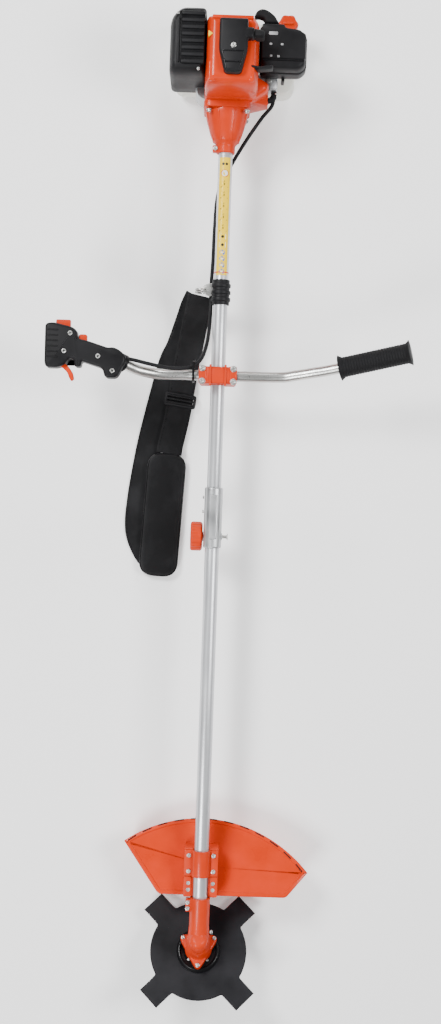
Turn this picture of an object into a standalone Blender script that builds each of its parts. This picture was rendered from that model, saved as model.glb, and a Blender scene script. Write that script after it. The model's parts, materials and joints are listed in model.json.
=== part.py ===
"""Brush cutter lying on its engine foot and cutting guard: a two-piece boom with
a small two-stroke engine at the +Y end and an angled gear case with a four-tooth
blade at the -Y end.  Metres, +Z up.  The origin is the centre of the foot's
underside, the boom's axis is parallel to Y at x = 0, +X is the right-hand grip."""

import math

import bmesh
import bpy
import numpy as np
from mathutils import Matrix, Vector

MM = 0.001
GAP = 0.3 * MM           # between pieces that touch
FIT = 0.5 * MM           # radial clearance of a turning or sliding fit
SIDES = 24               # facets round a turned piece

# Boom and drive
BOOM_Z = 115 * MM        # height of the boom's axis above the floor
BOOM_R = 13 * MM
BOOM_WALL = 1.5 * MM
SHAFT_R = 4 * MM
COLLAR_END_Y = -181 * MM     # front face of the clutch housing's collar
COUPLER_TOP_Y = -790 * MM
COUPLER_LENGTH = 110 * MM
COUPLER_R = 16.5 * MM
BOOM_SPLIT_Y = COUPLER_TOP_Y - 0.3 * COUPLER_LENGTH
GEAR_SOCKET_Y = -1538.5 * MM
APEX_Y = -1623 * MM      # where the drive shaft's axis meets the blade's axis
HEAD_ANGLE = math.radians(30)   # lean of the blade's axis from vertical

# Blade
BLADE_R = 127.5 * MM
BLADE_DISC_R = 89.5 * MM
BLADE_T = 2 * MM
TOOTH_WIDTH = 45 * MM
BLADE_BORE_R = 12.7 * MM
BLADE_DROP = 55 * MM     # apex to the blade's middle plane, along its axis

# Guard
GUARD_R = 245 * MM
GUARD_WALL = 3 * MM
GUARD_LEAN = 16 * MM     # how far the skirt's foot stands in from level GUARD_LEVEL
GUARD_LEVEL = 60 * MM
GUARD_FRONT_Y = -1541 * MM
GUARD_FRONT_Z = 92 * MM
GUARD_TILT = math.radians(15)
GUARD_LEFT = math.radians(36)
GUARD_RIGHT = math.radians(52)

# Handlebar
BAR_R = 9.7 * MM
BAR_Z = 143 * MM
CLAMP_Y = -588.5 * MM
CLAMP_WIDTH = 67 * MM
CLAMP_LENGTH = 31 * MM
GRIP_R = 18 * MM

# Engine
FLANGE_Y = -93.5 * MM    # rear face of the clutch housing's flange
FLANGE_SIDE = 84 * MM
CYLINDER_Y = -25 * MM
BORE_R = 17 * MM
CRANK_R = 6 * MM
COVER_X = (-39.5 * MM, 53.5 * MM)
COVER_Y = (-92 * MM, 33.5 * MM)
COVER_Z = (152 * MM, 245 * MM)
COVER_WALL = 2.5 * MM
TANK_X = (-101 * MM, 124 * MM)
TANK_Y = (-54 * MM, 80 * MM)
TANK_Z = (12.5 * MM, 60 * MM)
FILLER = (107 * MM, 66 * MM)
CASE_BOTTOM_Z = TANK_Z[1] + GAP

# Harness
STRAP_WIDTH = 48 * MM
STRAP_T = 2.5 * MM
EYE = (-26.9 * MM, -429.8 * MM)
CORD_R = 3.6 * MM

# Coupler and drive train
PIN_Y = -879 * MM
KNOB_Y = -879.7 * MM
KNOB_Z = BOOM_Z - 22.5 * MM
KNOB_R = 27 * MM
KNOB_STEM_R = 3.5 * MM
DRUM_Y = (-130 * MM, -104 * MM)
PINION_NEAR = 8.5 * MM       # pinion's small end, from the apex
PINION_FAR = 16 * MM
NECK_END = 40 * MM
HUB_LENGTH = 4 * MM
DRIVEN_FAR = 5 * MM
OUTPUT_R = 6 * MM
NUT_END = 70 * MM
PULLEY_R = 30 * MM

# Handlebar, throttle and cable routes
RIGHT_ROUTE = [(0, CLAMP_Y, BAR_Z), (36.4 * MM, CLAMP_Y, BAR_Z), (112 * MM, -587.6 * MM, BAR_Z),
               (140 * MM, -584 * MM, 149 * MM), (170 * MM, -579 * MM, 158 * MM)]
GRIP_START = Vector((213 * MM, -571 * MM, 169.5 * MM))
GRIP_END = Vector((338.9 * MM, -541.9 * MM, 203.5 * MM))
LEFT_ROUTE = [(-185 * MM, -569.5 * MM, 183.5 * MM), (-163.7 * MM, -578 * MM, 172 * MM),
              (-140 * MM, -585.5 * MM, 159 * MM), (-104.2 * MM, -589.5 * MM, 147 * MM),
              (-61 * MM, CLAMP_Y, BAR_Z), (-36 * MM, CLAMP_Y, BAR_Z)]
HOUSING_Z = (171 * MM, 189 * MM, 207 * MM)
TRIGGER_Z = (183 * MM, 195 * MM)
TRIGGER_PIVOT = (-279 * MM, -582.5 * MM)
CABLE_ROUTE = [(83 * MM, -66.4 * MM, 120 * MM), (82 * MM, -90 * MM, 118 * MM),
               (64.4 * MM, -111.4 * MM, 110 * MM), (40.1 * MM, -146.2 * MM, 100 * MM),
               (21 * MM, -177.6 * MM, 95 * MM), (9 * MM, -199.5 * MM, 93 * MM),
               (-4.8 * MM, -227.6 * MM, 93 * MM), (-12.8 * MM, -261.9 * MM, 97 * MM),
               (-15.4 * MM, -318.1 * MM, 101 * MM), (-16.3 * MM, -373.6 * MM, 101 * MM),
               (-18 * MM, -418.1 * MM, 99 * MM), (-17.5 * MM, -464.6 * MM, 101 * MM),
               (-19 * MM, -502.6 * MM, 113 * MM), (-22.5 * MM, -531.9 * MM, 130 * MM),
               (-29 * MM, -556 * MM, 149 * MM), (-39.5 * MM, -570 * MM, 156.5 * MM),
               (-54 * MM, -577.5 * MM, 159.5 * MM), (-86 * MM, -579.5 * MM, 162.5 * MM),
               (-121.8 * MM, -574 * MM, 168 * MM), (-145 * MM, -569.5 * MM, 174 * MM),
               (-160.8 * MM, -567 * MM, 179 * MM)]

# Hook, straps and shoulder pad
HOOK_R = 9 * MM
HOOK_WIRE = 1.8 * MM
LONG_ROUTE = [(-43 * MM, -437 * MM, 68 * MM), (-51 * MM, -452 * MM, 50 * MM),
              (-62 * MM, -482 * MM, 24 * MM), (-77 * MM, -524 * MM, 6 * MM),
              (-92 * MM, -560 * MM, 2 * MM), (-115.5 * MM, -661 * MM, 2 * MM),
              (-128.6 * MM, -725 * MM, 2 * MM), (-141.6 * MM, -816 * MM, 2 * MM),
              (-143 * MM, -874 * MM, 2 * MM), (-126 * MM, -915 * MM, 2 * MM),
              (-105 * MM, -935 * MM, 2 * MM)]
SHORT_ROUTE = [(-36 * MM, -436 * MM, 80 * MM), (-40 * MM, -455 * MM, 66 * MM),
               (-47 * MM, -486 * MM, 44 * MM), (-54 * MM, -524 * MM, 23 * MM),
               (-61 * MM, -560 * MM, 13 * MM), (-74 * MM, -652 * MM, 12 * MM),
               (-85 * MM, -706 * MM, 13 * MM), (-88 * MM, -727 * MM, 14 * MM)]
BUCKLE_AT = (-70 * MM, -625 * MM, 12.1 * MM)
PAD_ENDS = ((-90.4 * MM, -729 * MM), (-102.5 * MM, -957 * MM))
PAD_WIDTH = 68 * MM
PAD_Z = (5 * MM, 23 * MM)

BLACK = ("black_plastic", (0.02, 0.02, 0.022), 0.0, 0.45)
ORANGE = ("orange_plastic", (0.85, 0.13, 0.02), 0.0, 0.35)
STEEL = ("steel", (0.6, 0.6, 0.6), 1.0, 0.3)
ALUMINIUM = ("cast_aluminium", (0.55, 0.55, 0.55), 1.0, 0.45)
BOOM_PAINT = ("boom_paint", (0.62, 0.64, 0.66), 0.7, 0.3)
TANK_WHITE = ("translucent_white", (0.8, 0.8, 0.76), 0.0, 0.4)
BLADE_BLACK = ("blade_black", (0.03, 0.03, 0.03), 0.6, 0.4)
RUBBER = ("rubber", (0.02, 0.02, 0.02), 0.0, 0.8)
WEBBING = ("webbing", (0.03, 0.03, 0.03), 0.0, 0.95)

PARTS = "brush_cutter"
CUTTERS = "brush_cutter_cutters"
Y_AXIS = Vector((0, 1, 0))
Z_AXIS = Vector((0, 0, 1))
OUTPUT = Vector((0, -math.sin(HEAD_ANGLE), -math.cos(HEAD_ANGLE)))
APEX = Vector((0, APEX_Y, BOOM_Z))


# ---------------------------------------------------------------- scene helpers
def clear_scene():
    """Removes every object and makes the two collections."""
    for obj in list(bpy.data.objects):
        bpy.data.objects.remove(obj, do_unlink=True)
    for name in (PARTS, CUTTERS):
        collection = bpy.data.collections.new(name)
        bpy.context.scene.collection.children.link(collection)
    bpy.data.collections[CUTTERS].hide_render = True


def material(look):
    """The Principled material of a look, made once."""
    name, colour, metallic, roughness = look
    if name in bpy.data.materials:
        return bpy.data.materials[name]
    made = bpy.data.materials.new(name)
    made.use_nodes = True
    shader = made.node_tree.nodes["Principled BSDF"]
    shader.inputs["Base Color"].default_value = (*colour, 1)
    shader.inputs["Metallic"].default_value = metallic
    shader.inputs["Roughness"].default_value = roughness
    made.diffuse_color = (*colour, 1)
    return made


def add(name, data, look=None, matrix=None):
    """A new object: a part when it has a look, else a hidden cutter."""
    obj = bpy.data.objects.new(name, data)
    bpy.data.collections[PARTS if look else CUTTERS].objects.link(obj)
    if look:
        data.materials.clear()
        data.materials.append(material(look))
    else:
        obj.hide_render = True
        obj.display_type = "WIRE"
    if matrix is not None:
        obj.matrix_world = matrix
    return obj


def facing(origin, axis):
    """Matrix that takes local Z to the axis and local 0 to the origin."""
    turn = Vector(axis).to_track_quat("Z", "Y").to_matrix().to_4x4()
    return Matrix.Translation(Vector(origin)) @ turn


def mesh_from(builder):
    """A mesh filled by a bmesh function."""
    bm = bmesh.new()
    builder(bm)
    data = bpy.data.meshes.new("shape")
    bm.to_mesh(data)
    bm.free()
    return data


def smooth(obj, angle=35):
    """Smooth shading with edges over the angle kept sharp."""
    obj.data.shade_smooth()
    obj.data.set_sharp_from_angle(angle=math.radians(angle))
    return obj


def span(x, y, z):
    """Size and centre of the box between three (low, high) pairs."""
    size = [high - low for low, high in (x, y, z)]
    centre = [(high + low) / 2 for low, high in (x, y, z)]
    return size, centre


def box(name, x, y, z, look=None, bevel=0.0, turn=None, segments=2):
    """A box between (low, high) pairs, with its scale in the mesh."""
    size, centre = span(x, y, z)
    scale = Matrix.Diagonal((*size, 1))
    data = mesh_from(lambda bm: bmesh.ops.create_cube(bm, size=1, matrix=scale))
    place = Matrix.Translation(centre) @ (turn or Matrix())
    obj = add(name, data, look, place)
    if bevel:
        round_edges(obj, bevel, segments)
    return obj


def round_edges(obj, width, segments=2):
    """A Bevel modifier on the sharp edges."""
    modifier = obj.modifiers.new("Bevel", "BEVEL")
    modifier.width = width
    modifier.segments = segments
    modifier.limit_method = "ANGLE"
    modifier.angle_limit = math.radians(40)
    return obj


def rod(name, radius, start, end, look=None, sides=SIDES, end_radius=None):
    """A cylinder or cone between two points."""
    start, end = Vector(start), Vector(end)
    length = (end - start).length
    tip = radius if end_radius is None else end_radius
    shift = Matrix.Translation((0, 0, length / 2))

    def build(bm):
        bmesh.ops.create_cone(bm, cap_ends=True, segments=sides, radius1=radius,
                              radius2=tip, depth=length, matrix=shift)

    obj = add(name, mesh_from(build), look, facing(start, end - start))
    return smooth(obj)


def turned(name, profile, origin, axis, look=None, closed=True, steps=SIDES):
    """A closed (radius, height) profile turned about the axis by a Screw.

    The points run down the outer side, so the faces point out."""
    data = bpy.data.meshes.new("profile")
    points = [(radius, 0, height) for radius, height in profile]
    edges = [(i, i + 1) for i in range(len(points) - 1)]
    if closed:
        edges.append((len(points) - 1, 0))
    data.from_pydata(points, edges, [])
    obj = add(name, data, look, facing(origin, axis))
    screw = obj.modifiers.new("Screw", "SCREW")
    screw.steps = steps
    screw.render_steps = steps
    screw.use_merge_vertices = True
    screw.merge_threshold = 0.00001
    screw.use_normal_calculate = False
    return obj


def ring(name, outer, inner, start, end, look=None, steps=SIDES):
    """A plain tube piece between two points on its axis."""
    start, end = Vector(start), Vector(end)
    length = (end - start).length
    profile = [(outer, length), (outer, 0), (inner, 0), (inner, length)]
    return turned(name, profile, start, end - start, look, steps=steps)


def wire(name, points, radius, look=None, cyclic=False, resolution=2):
    """A POLY curve with a round section and filled caps."""
    curve = bpy.data.curves.new("route", "CURVE")
    curve.dimensions = "3D"
    curve.bevel_depth = radius
    curve.bevel_resolution = resolution
    curve.use_fill_caps = True
    spline = curve.splines.new("POLY")
    spline.points.add(len(points) - 1)
    for spot, point in zip(spline.points, points):
        spot.co = (*point, 1)
    spline.use_cyclic_u = cyclic
    return add(name, curve, look)


def smooth_route(points, count):
    """Points at even steps along a Catmull-Rom curve through the given points."""
    given = np.array(points, float)
    ends = np.vstack([2 * given[0] - given[1], given, 2 * given[-1] - given[-2]])
    fine = []
    for a, b, c, d in zip(ends[:-3], ends[1:-2], ends[2:-1], ends[3:]):
        t = np.linspace(0, 1, 24, endpoint=False)[:, None]
        fine.append(0.5 * (2 * b + (c - a) * t + (2 * a - 5 * b + 4 * c - d) * t ** 2
                           + (3 * b - a - 3 * c + d) * t ** 3))
    fine = np.vstack(fine + [given[-1:]])
    run = np.concatenate([[0], np.cumsum(np.linalg.norm(np.diff(fine, axis=0), axis=1))])
    wanted = np.linspace(0, run[-1], count)
    return [tuple(np.interp(w, run, fine[:, k]) for k in range(3)) for w in wanted]


def plate(name, points, low, high, look=None, matrix=None, bevel=0.0):
    """A flat outline in XY, thick from low to high in Z."""
    curve = bpy.data.curves.new("outline", "CURVE")
    curve.dimensions = "2D"
    curve.fill_mode = "BOTH"
    curve.extrude = (high - low) / 2
    spline = curve.splines.new("POLY")
    spline.points.add(len(points) - 1)
    for spot, (x, y) in zip(spline.points, points):
        spot.co = (x, y, 0, 1)
    spline.use_cyclic_u = True
    place = (matrix or Matrix()) @ Matrix.Translation((0, 0, (low + high) / 2))
    obj = to_mesh(add(name, curve, look, place), look)
    if bevel:
        round_edges(obj, bevel)
    return obj


def to_mesh(obj, look=None):
    """The object made a closed mesh, with a curve's caps welded on."""
    bpy.context.view_layer.update()
    graph = bpy.context.evaluated_depsgraph_get()
    data = bpy.data.meshes.new_from_object(obj.evaluated_get(graph))
    bm = bmesh.new()
    bm.from_mesh(data)
    bmesh.ops.remove_doubles(bm, verts=bm.verts, dist=0.000002)
    bmesh.ops.recalc_face_normals(bm, faces=bm.faces)
    bm.to_mesh(data)
    bm.free()
    name, matrix = obj.name, obj.matrix_world.copy()
    bpy.data.objects.remove(obj, do_unlink=True)
    return add(name, data, look, matrix)


def boolean(target, other, operation):
    """One exact Boolean modifier."""
    modifier = target.modifiers.new(operation.title(), "BOOLEAN")
    modifier.operation = operation
    modifier.solver = "EXACT"
    modifier.object = other


def cut(target, *cutters):
    for cutter in cutters:
        boolean(target, cutter, "DIFFERENCE")
    return target


def join(target, *others):
    for other in others:
        boolean(target, other, "UNION")
    return target


def boom_cutter(name, start_y, end_y, radius=BOOM_R + GAP):
    """A cylinder round the boom's axis."""
    return rod(name, radius, (0, start_y, BOOM_Z), (0, end_y, BOOM_Z))


def rounded_square(side, corner):
    """Outline of a square with round corners."""
    points = []
    for quarter in range(4):
        middle = math.radians(45 + 90 * quarter)
        reach = (side / 2 - corner) * math.sqrt(2)
        for step in range(5):
            angle = math.radians(90 * quarter + 22.5 * step)
            points.append((reach * math.cos(middle) + corner * math.cos(angle),
                           reach * math.sin(middle) + corner * math.sin(angle)))
    return points


def on_boom(y, x=0.0, z=0.0):
    """A point beside the boom's axis."""
    return (x, y, BOOM_Z + z)


# ------------------------------------------------------------------ boom & drive
def make_booms():
    """Upper and lower boom tubes, open at both ends, and the two drive shafts."""
    inner = BOOM_R - BOOM_WALL
    upper_end = BOOM_SPLIT_Y + GAP
    ring("upper_boom_tube", BOOM_R, inner, on_boom(upper_end),
         on_boom(COLLAR_END_Y + 25 * MM), BOOM_PAINT)
    lower = ring("lower_boom_tube", BOOM_R, inner, on_boom(GEAR_SOCKET_Y - 32 * MM),
                 on_boom(BOOM_SPLIT_Y - GAP), BOOM_PAINT)
    cut(lower, rod("pin_hole_lower", 3.5 * MM, on_boom(PIN_Y, 8 * MM),
                   on_boom(PIN_Y, 20 * MM), sides=16))
    rod("upper_drive_shaft", SHAFT_R, on_boom(BOOM_SPLIT_Y + 2 * GAP),
        on_boom(DRUM_Y[0] - GAP), STEEL, sides=16)
    rod("lower_drive_shaft", SHAFT_R, on_boom(APEX_Y + PINION_FAR - MM),
        on_boom(BOOM_SPLIT_Y - 2 * GAP), STEEL, sides=16)


def make_coupler():
    """Cast sleeve that joins the boom halves, its clamp knob and pull pin."""
    low, high = COUPLER_TOP_Y - COUPLER_LENGTH, COUPLER_TOP_Y
    body = rod("coupler_body", COUPLER_R, on_boom(low), on_boom(high), ALUMINIUM)
    lug_z = BOOM_Z - 31 * MM
    lug = box("coupler_lug", (-14 * MM, 14 * MM), (low + 4 * MM, low + 46 * MM),
              (lug_z, BOOM_Z - 4 * MM), bevel=3 * MM)
    raised = box("coupler_plate", (-7.5 * MM, 8 * MM), (low + 16 * MM, high - 13 * MM),
                 (BOOM_Z + 8 * MM, BOOM_Z + 19 * MM), bevel=3 * MM)
    boss = rod("coupler_pin_boss", 6 * MM, on_boom(PIN_Y, 10 * MM),
               on_boom(PIN_Y, COUPLER_R + 1.5 * MM), sides=20)
    join(body, lug, raised, boss)
    slit = box("coupler_slit", (-1 * MM, 1 * MM), (low - MM, low + 60 * MM),
               (lug_z - MM, BOOM_Z - 5 * MM))
    pin_hole = rod("coupler_pin_hole", 3.5 * MM, on_boom(PIN_Y, 8 * MM),
                   on_boom(PIN_Y, 25 * MM), sides=16)
    screw_hole = rod("coupler_screw_hole", KNOB_STEM_R + GAP, (-25 * MM, KNOB_Y, KNOB_Z),
                     (10 * MM, KNOB_Y, KNOB_Z), sides=16)
    cut(body, boom_cutter("coupler_bore", low - MM, high + MM), slit, pin_hole, screw_hole)

    knob = rod("coupler_knob", KNOB_R, (-40.5 * MM, KNOB_Y, KNOB_Z),
               (-18.5 * MM, KNOB_Y, KNOB_Z), ORANGE, sides=40)
    stem = rod("knob_stem", KNOB_STEM_R, (-20 * MM, KNOB_Y, KNOB_Z),
               (9 * MM, KNOB_Y, KNOB_Z), sides=16)
    for i in range(12):
        angle = 2 * math.pi * i / 12
        y = KNOB_Y + (KNOB_R + MM) * math.cos(angle)
        z = KNOB_Z + (KNOB_R + MM) * math.sin(angle)
        cut(knob, rod(f"knob_groove_{i}", 2.6 * MM, (-42 * MM, y, z), (-17 * MM, y, z), sides=8))
    join(knob, stem)

    pin = rod("coupler_lock_pin", 3 * MM, on_boom(PIN_Y, BOOM_R + 2 * GAP),
              on_boom(PIN_Y, 25 * MM), STEEL, sides=16)
    head = rod("lock_pin_head", 5.5 * MM, on_boom(PIN_Y, 24 * MM),
               on_boom(PIN_Y, 28 * MM), sides=20)
    join(pin, head)


# ------------------------------------------------------------------- cutting head
def along_output(distance):
    """A point on the blade's axis at a distance below the apex."""
    return APEX + OUTPUT * distance


def make_gear_case():
    """Angled gear case: boom socket, dome and output neck, open at both ends."""
    case = rod("gear_case", 18.5 * MM, APEX, on_boom(GEAR_SOCKET_Y), ORANGE)
    dome = bmesh.ops.create_uvsphere
    data = mesh_from(lambda bm: dome(bm, u_segments=28, v_segments=14, radius=26 * MM))
    ball = add("gear_dome", data, None, facing(APEX, OUTPUT))
    neck = rod("gear_neck", 30 * MM, along_output(4 * MM), along_output(NECK_END))
    lug = box("gear_clamp_lug", (-27 * MM, -10 * MM),
              (GEAR_SOCKET_Y - 24 * MM, GEAR_SOCKET_Y - 2 * MM),
              (BOOM_Z - 9 * MM, BOOM_Z + 9 * MM), bevel=2 * MM)
    join(case, ball, neck, lug)
    for i in range(3):
        turn = Matrix.Rotation(math.radians(90 + 120 * i), 4, OUTPUT)
        side = turn @ Vector((1, 0, 0)) * 33 * MM
        join(case, rod(f"gear_boss_{i}", 6 * MM, along_output(22 * MM) + side,
                       along_output(NECK_END) + side, sides=16))
    inner = rod("gear_cavity", 22 * MM, along_output(-4 * MM), along_output(NECK_END + MM))
    socket = boom_cutter("gear_socket_bore", GEAR_SOCKET_Y - 34 * MM, GEAR_SOCKET_Y + MM)
    throat = boom_cutter("gear_throat", APEX_Y + 5 * MM, GEAR_SOCKET_Y, 15.5 * MM - 4 * MM)
    slit = box("gear_slit", (-30 * MM, -10 * MM), (GEAR_SOCKET_Y - 30 * MM, GEAR_SOCKET_Y + MM),
               (BOOM_Z - 0.8 * MM, BOOM_Z + 0.8 * MM))
    cut(case, inner, socket, throat, slit)


def bevel_gear(name, teeth, near, far, near_r, far_r, axis, base, look=STEEL):
    """A cone on an axis through the apex, with alternate points set in as teeth, and a hub."""
    axis = Vector(axis).normalized()
    depth = far - near

    def build(bm):
        bmesh.ops.create_cone(bm, cap_ends=True, segments=2 * teeth, radius1=near_r,
                              radius2=far_r, depth=depth,
                              matrix=Matrix.Translation((0, 0, depth / 2)))
        for vert in bm.verts:
            angle = math.atan2(vert.co.y, vert.co.x) / (math.pi / teeth)
            if round(angle) % 2:
                vert.co.x *= 0.84
                vert.co.y *= 0.84

    gear = add(name, mesh_from(build), look, facing(APEX + axis * near, axis))
    return join(gear, rod(name + "_hub", base, APEX + axis * (far - 0.4 * MM),
                          APEX + axis * (far + HUB_LENGTH), sides=20))


def make_gears():
    """Pinion on the drive shaft and driven gear on the output shaft."""
    pinion = bevel_gear("pinion_teeth", 12, PINION_NEAR, PINION_FAR - HUB_LENGTH,
                        7.6 * MM, 11.2 * MM, Y_AXIS, 6 * MM, None)
    join(bpy.data.objects["lower_drive_shaft"], pinion)
    driven = bevel_gear("driven_gear", 16, 2.6 * MM, DRIVEN_FAR, 7.5 * MM, 15.5 * MM,
                        OUTPUT, 9 * MM)
    cut(driven, rod("driven_bore", OUTPUT_R + GAP, along_output(0), along_output(20 * MM),
                    sides=20))
    shaft = rod("output_shaft", OUTPUT_R, along_output(4.5 * MM), along_output(NUT_END + MM),
                STEEL, sides=20)
    seat = rod("output_flange", 17 * MM, along_output(41 * MM), along_output(44 * MM))
    spigot = rod("output_spigot", BLADE_BORE_R - GAP, along_output(43 * MM),
                 along_output(BLADE_DROP + BLADE_T / 2 - 0.2 * MM))
    join(shaft, seat, spigot)


def blade_outline():
    """Disc outline with four square teeth, each on a diagonal."""
    points = []
    half = TOOTH_WIDTH / 2
    root = math.asin(half / BLADE_DISC_R)
    for quarter in range(4):
        middle = math.radians(45 + 90 * quarter)
        out = Vector((math.cos(middle), math.sin(middle)))
        side = Vector((-out.y, out.x))
        reach = math.sqrt(BLADE_R ** 2 - half ** 2)
        points += [tuple(out * reach - side * half), tuple(out * reach + side * half)]
        for step in range(9):
            angle = middle + root + (math.radians(90) - 2 * root) * step / 8
            points.append((BLADE_DISC_R * math.cos(angle), BLADE_DISC_R * math.sin(angle)))
    return points


def make_blade():
    """Blade, its holder above and its clamping flange and nut below."""
    frame = facing(along_output(BLADE_DROP), -OUTPUT)
    blade = plate("blade", blade_outline(), -BLADE_T / 2, BLADE_T / 2, BLADE_BLACK, frame)
    cut(blade, rod("blade_bore", BLADE_BORE_R, along_output(BLADE_DROP - 5 * MM),
                   along_output(BLADE_DROP + 5 * MM)))
    upper = BLADE_DROP - BLADE_T / 2 - GAP
    lower = BLADE_DROP + BLADE_T / 2 + GAP
    holder = [(40.5 * MM, 0), (40.5 * MM, -3 * MM), (36 * MM, -9 * MM), (33.5 * MM, -9 * MM),
              (33.5 * MM, -3 * MM), (BLADE_BORE_R, -3 * MM), (BLADE_BORE_R, 0)]
    turned("blade_holder", [(r, -h) for r, h in holder][::-1], along_output(upper), -OUTPUT,
           BLADE_BLACK)
    nut = rod("blade_nut", 10 * MM, along_output(lower + MM), along_output(NUT_END), STEEL,
              sides=6)
    flange = rod("nut_flange", 25 * MM, along_output(lower), along_output(lower + 3.5 * MM))
    cut(join(nut, flange), rod("nut_bore", OUTPUT_R + GAP, along_output(lower - MM),
                               along_output(NUT_END + MM), sides=20))


# -------------------------------------------------------------------------- guard
def fan_outline(radius, inset):
    """Guard's outline: an arc behind the blade's centre and a straight front."""
    centre_y = along_output(BLADE_DROP).y
    points = []
    for step in range(25):
        angle = GUARD_RIGHT - (GUARD_RIGHT + GUARD_LEFT) * step / 24
        points.append((radius * math.sin(angle), centre_y + radius * math.cos(angle)))
    front = GUARD_FRONT_Y - 2 * inset
    points.append((-78 * MM + inset, front))
    points.append((158 * MM - inset, front))
    return points


def above_tilted(name, lift):
    """A block whose underside is the guard's tilted top plane, lifted."""
    size = 600 * MM
    turn = Matrix.Rotation(-GUARD_TILT, 4, "X")     # it falls toward +Y, behind the blade
    place = Matrix.Translation((0, GUARD_FRONT_Y, GUARD_FRONT_Z + lift))
    shape = Matrix.Translation((0, 0, size / 2)) @ Matrix.Diagonal((size, 2 * size, size, 1))
    data = mesh_from(lambda bm: bmesh.ops.create_cube(bm, size=1, matrix=shape))
    return add(name, data, None, place @ turn)


def lean_in(obj):
    """Leans a fan's curved wall: each vertex moves radially by its height."""
    centre = Vector((0, APEX_Y + OUTPUT.y * BLADE_DROP, 0))
    for vertex in obj.data.vertices:
        out = Vector((vertex.co.x, vertex.co.y, 0)) - centre
        if out.length > 0.9 * GUARD_R:
            share = (obj.matrix_world @ vertex.co).z / GUARD_LEVEL - 1
            vertex.co += out.normalized() * GUARD_LEAN * share
    return obj


def make_guard():
    """Fan-shaped guard, an open shell with a leaning skirt down to the floor."""
    guard = lean_in(plate("guard", fan_outline(GUARD_R, 0), 0, 120 * MM, ORANGE))
    pocket = lean_in(plate("guard_pocket", fan_outline(GUARD_R - GUARD_WALL, GUARD_WALL),
                           -10 * MM, 130 * MM))
    cut(pocket, above_tilted("guard_pocket_top", -GUARD_WALL))
    cut(guard, above_tilted("guard_top", 0), pocket)


def make_guard_bracket():
    """Channel block under the boom and a cap over it that hold the guard."""
    y = (-1537 * MM, -1449 * MM)
    base = box("guard_bracket_base", (-31 * MM, 31 * MM), y,
               (45 * MM, BOOM_Z - GAP), ORANGE)
    under = box("bracket_under", (-300 * MM, 300 * MM), (-1, 1), (-1, 0))
    under.matrix_world = (Matrix.Translation((0, GUARD_FRONT_Y, GUARD_FRONT_Z + GAP))
                          @ Matrix.Rotation(-GUARD_TILT, 4, "X")
                          @ Matrix.Translation((0, 0, -0.5)))
    bore = boom_cutter("bracket_bore", y[0] - MM, y[1] + MM)
    cut(base, under, bore)
    cap_y = (-1499 * MM, -1452 * MM)
    cap = rod("guard_bracket_cap", BOOM_R + 4.5 * MM, on_boom(cap_y[0]), on_boom(cap_y[1]), ORANGE)
    wings = box("bracket_wings", (-31 * MM, 31 * MM), cap_y, (BOOM_Z - 5 * MM, BOOM_Z + 4 * MM))
    below = box("bracket_below", (-60 * MM, 60 * MM), (-1.6, -1.3), (BOOM_Z - 60 * MM, BOOM_Z))
    join(cap, wings)
    cut(cap, below, boom_cutter("bracket_cap_bore", cap_y[0] - MM, cap_y[1] + MM))
    box("line_cutter", (-122 * MM, -104 * MM), (-1471.5 * MM, -1470 * MM), (8 * MM, 34 * MM), STEEL)


# ------------------------------------------------------------------------- engine
def make_clutch():
    """Clutch housing with flange, cone and collar; drum and shoes inside."""
    front = COLLAR_END_Y
    profile = [(39 * MM, -2 * MM), (39 * MM, -18 * MM), (24 * MM, -66 * MM),
               (17 * MM, -73 * MM), (17 * MM, front - FLANGE_Y), (BOOM_R + GAP, front - FLANGE_Y),
               (BOOM_R + GAP, -61 * MM), (11 * MM, -61 * MM), (11 * MM, -40 * MM),
               (31 * MM, -38 * MM), (31 * MM, -2 * MM)]
    housing = turned("clutch_housing", profile, on_boom(FLANGE_Y), Y_AXIS, ORANGE)
    flange = plate("clutch_flange", rounded_square(FLANGE_SIDE, 14 * MM), -12 * MM, 0,
                   matrix=facing(on_boom(FLANGE_Y), Y_AXIS))
    cavity = rod("clutch_flange_bore", 32 * MM, on_boom(FLANGE_Y - 13 * MM),
                 on_boom(FLANGE_Y + MM))
    lug = box("clutch_lug", (-24 * MM, -14 * MM), (front + 2 * MM, front + 14 * MM),
              (BOOM_Z - 8 * MM, BOOM_Z + 8 * MM), bevel=2 * MM)
    bore = boom_cutter("clutch_lug_bore", front - MM, front + 20 * MM)
    cut(join(housing, flange, lug), cavity, bore)

    low, high = DRUM_Y
    drum = [(0, 3 * MM), (25.5 * MM, 3 * MM), (25.5 * MM, high - low), (28 * MM, high - low),
            (28 * MM, 0), (0, 0)]
    turned("clutch_drum", drum, on_boom(low), Y_AXIS, STEEL, closed=False)
    shoes = ring("clutch_shoes", 24.5 * MM, CRANK_R + GAP, on_boom(-124 * MM),
                 on_boom(-108 * MM), STEEL)
    cut(shoes, box("shoe_gap", (-25 * MM, 25 * MM), (-125 * MM, -112 * MM),
                   (BOOM_Z - 1.5 * MM, BOOM_Z + 1.5 * MM)))


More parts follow.
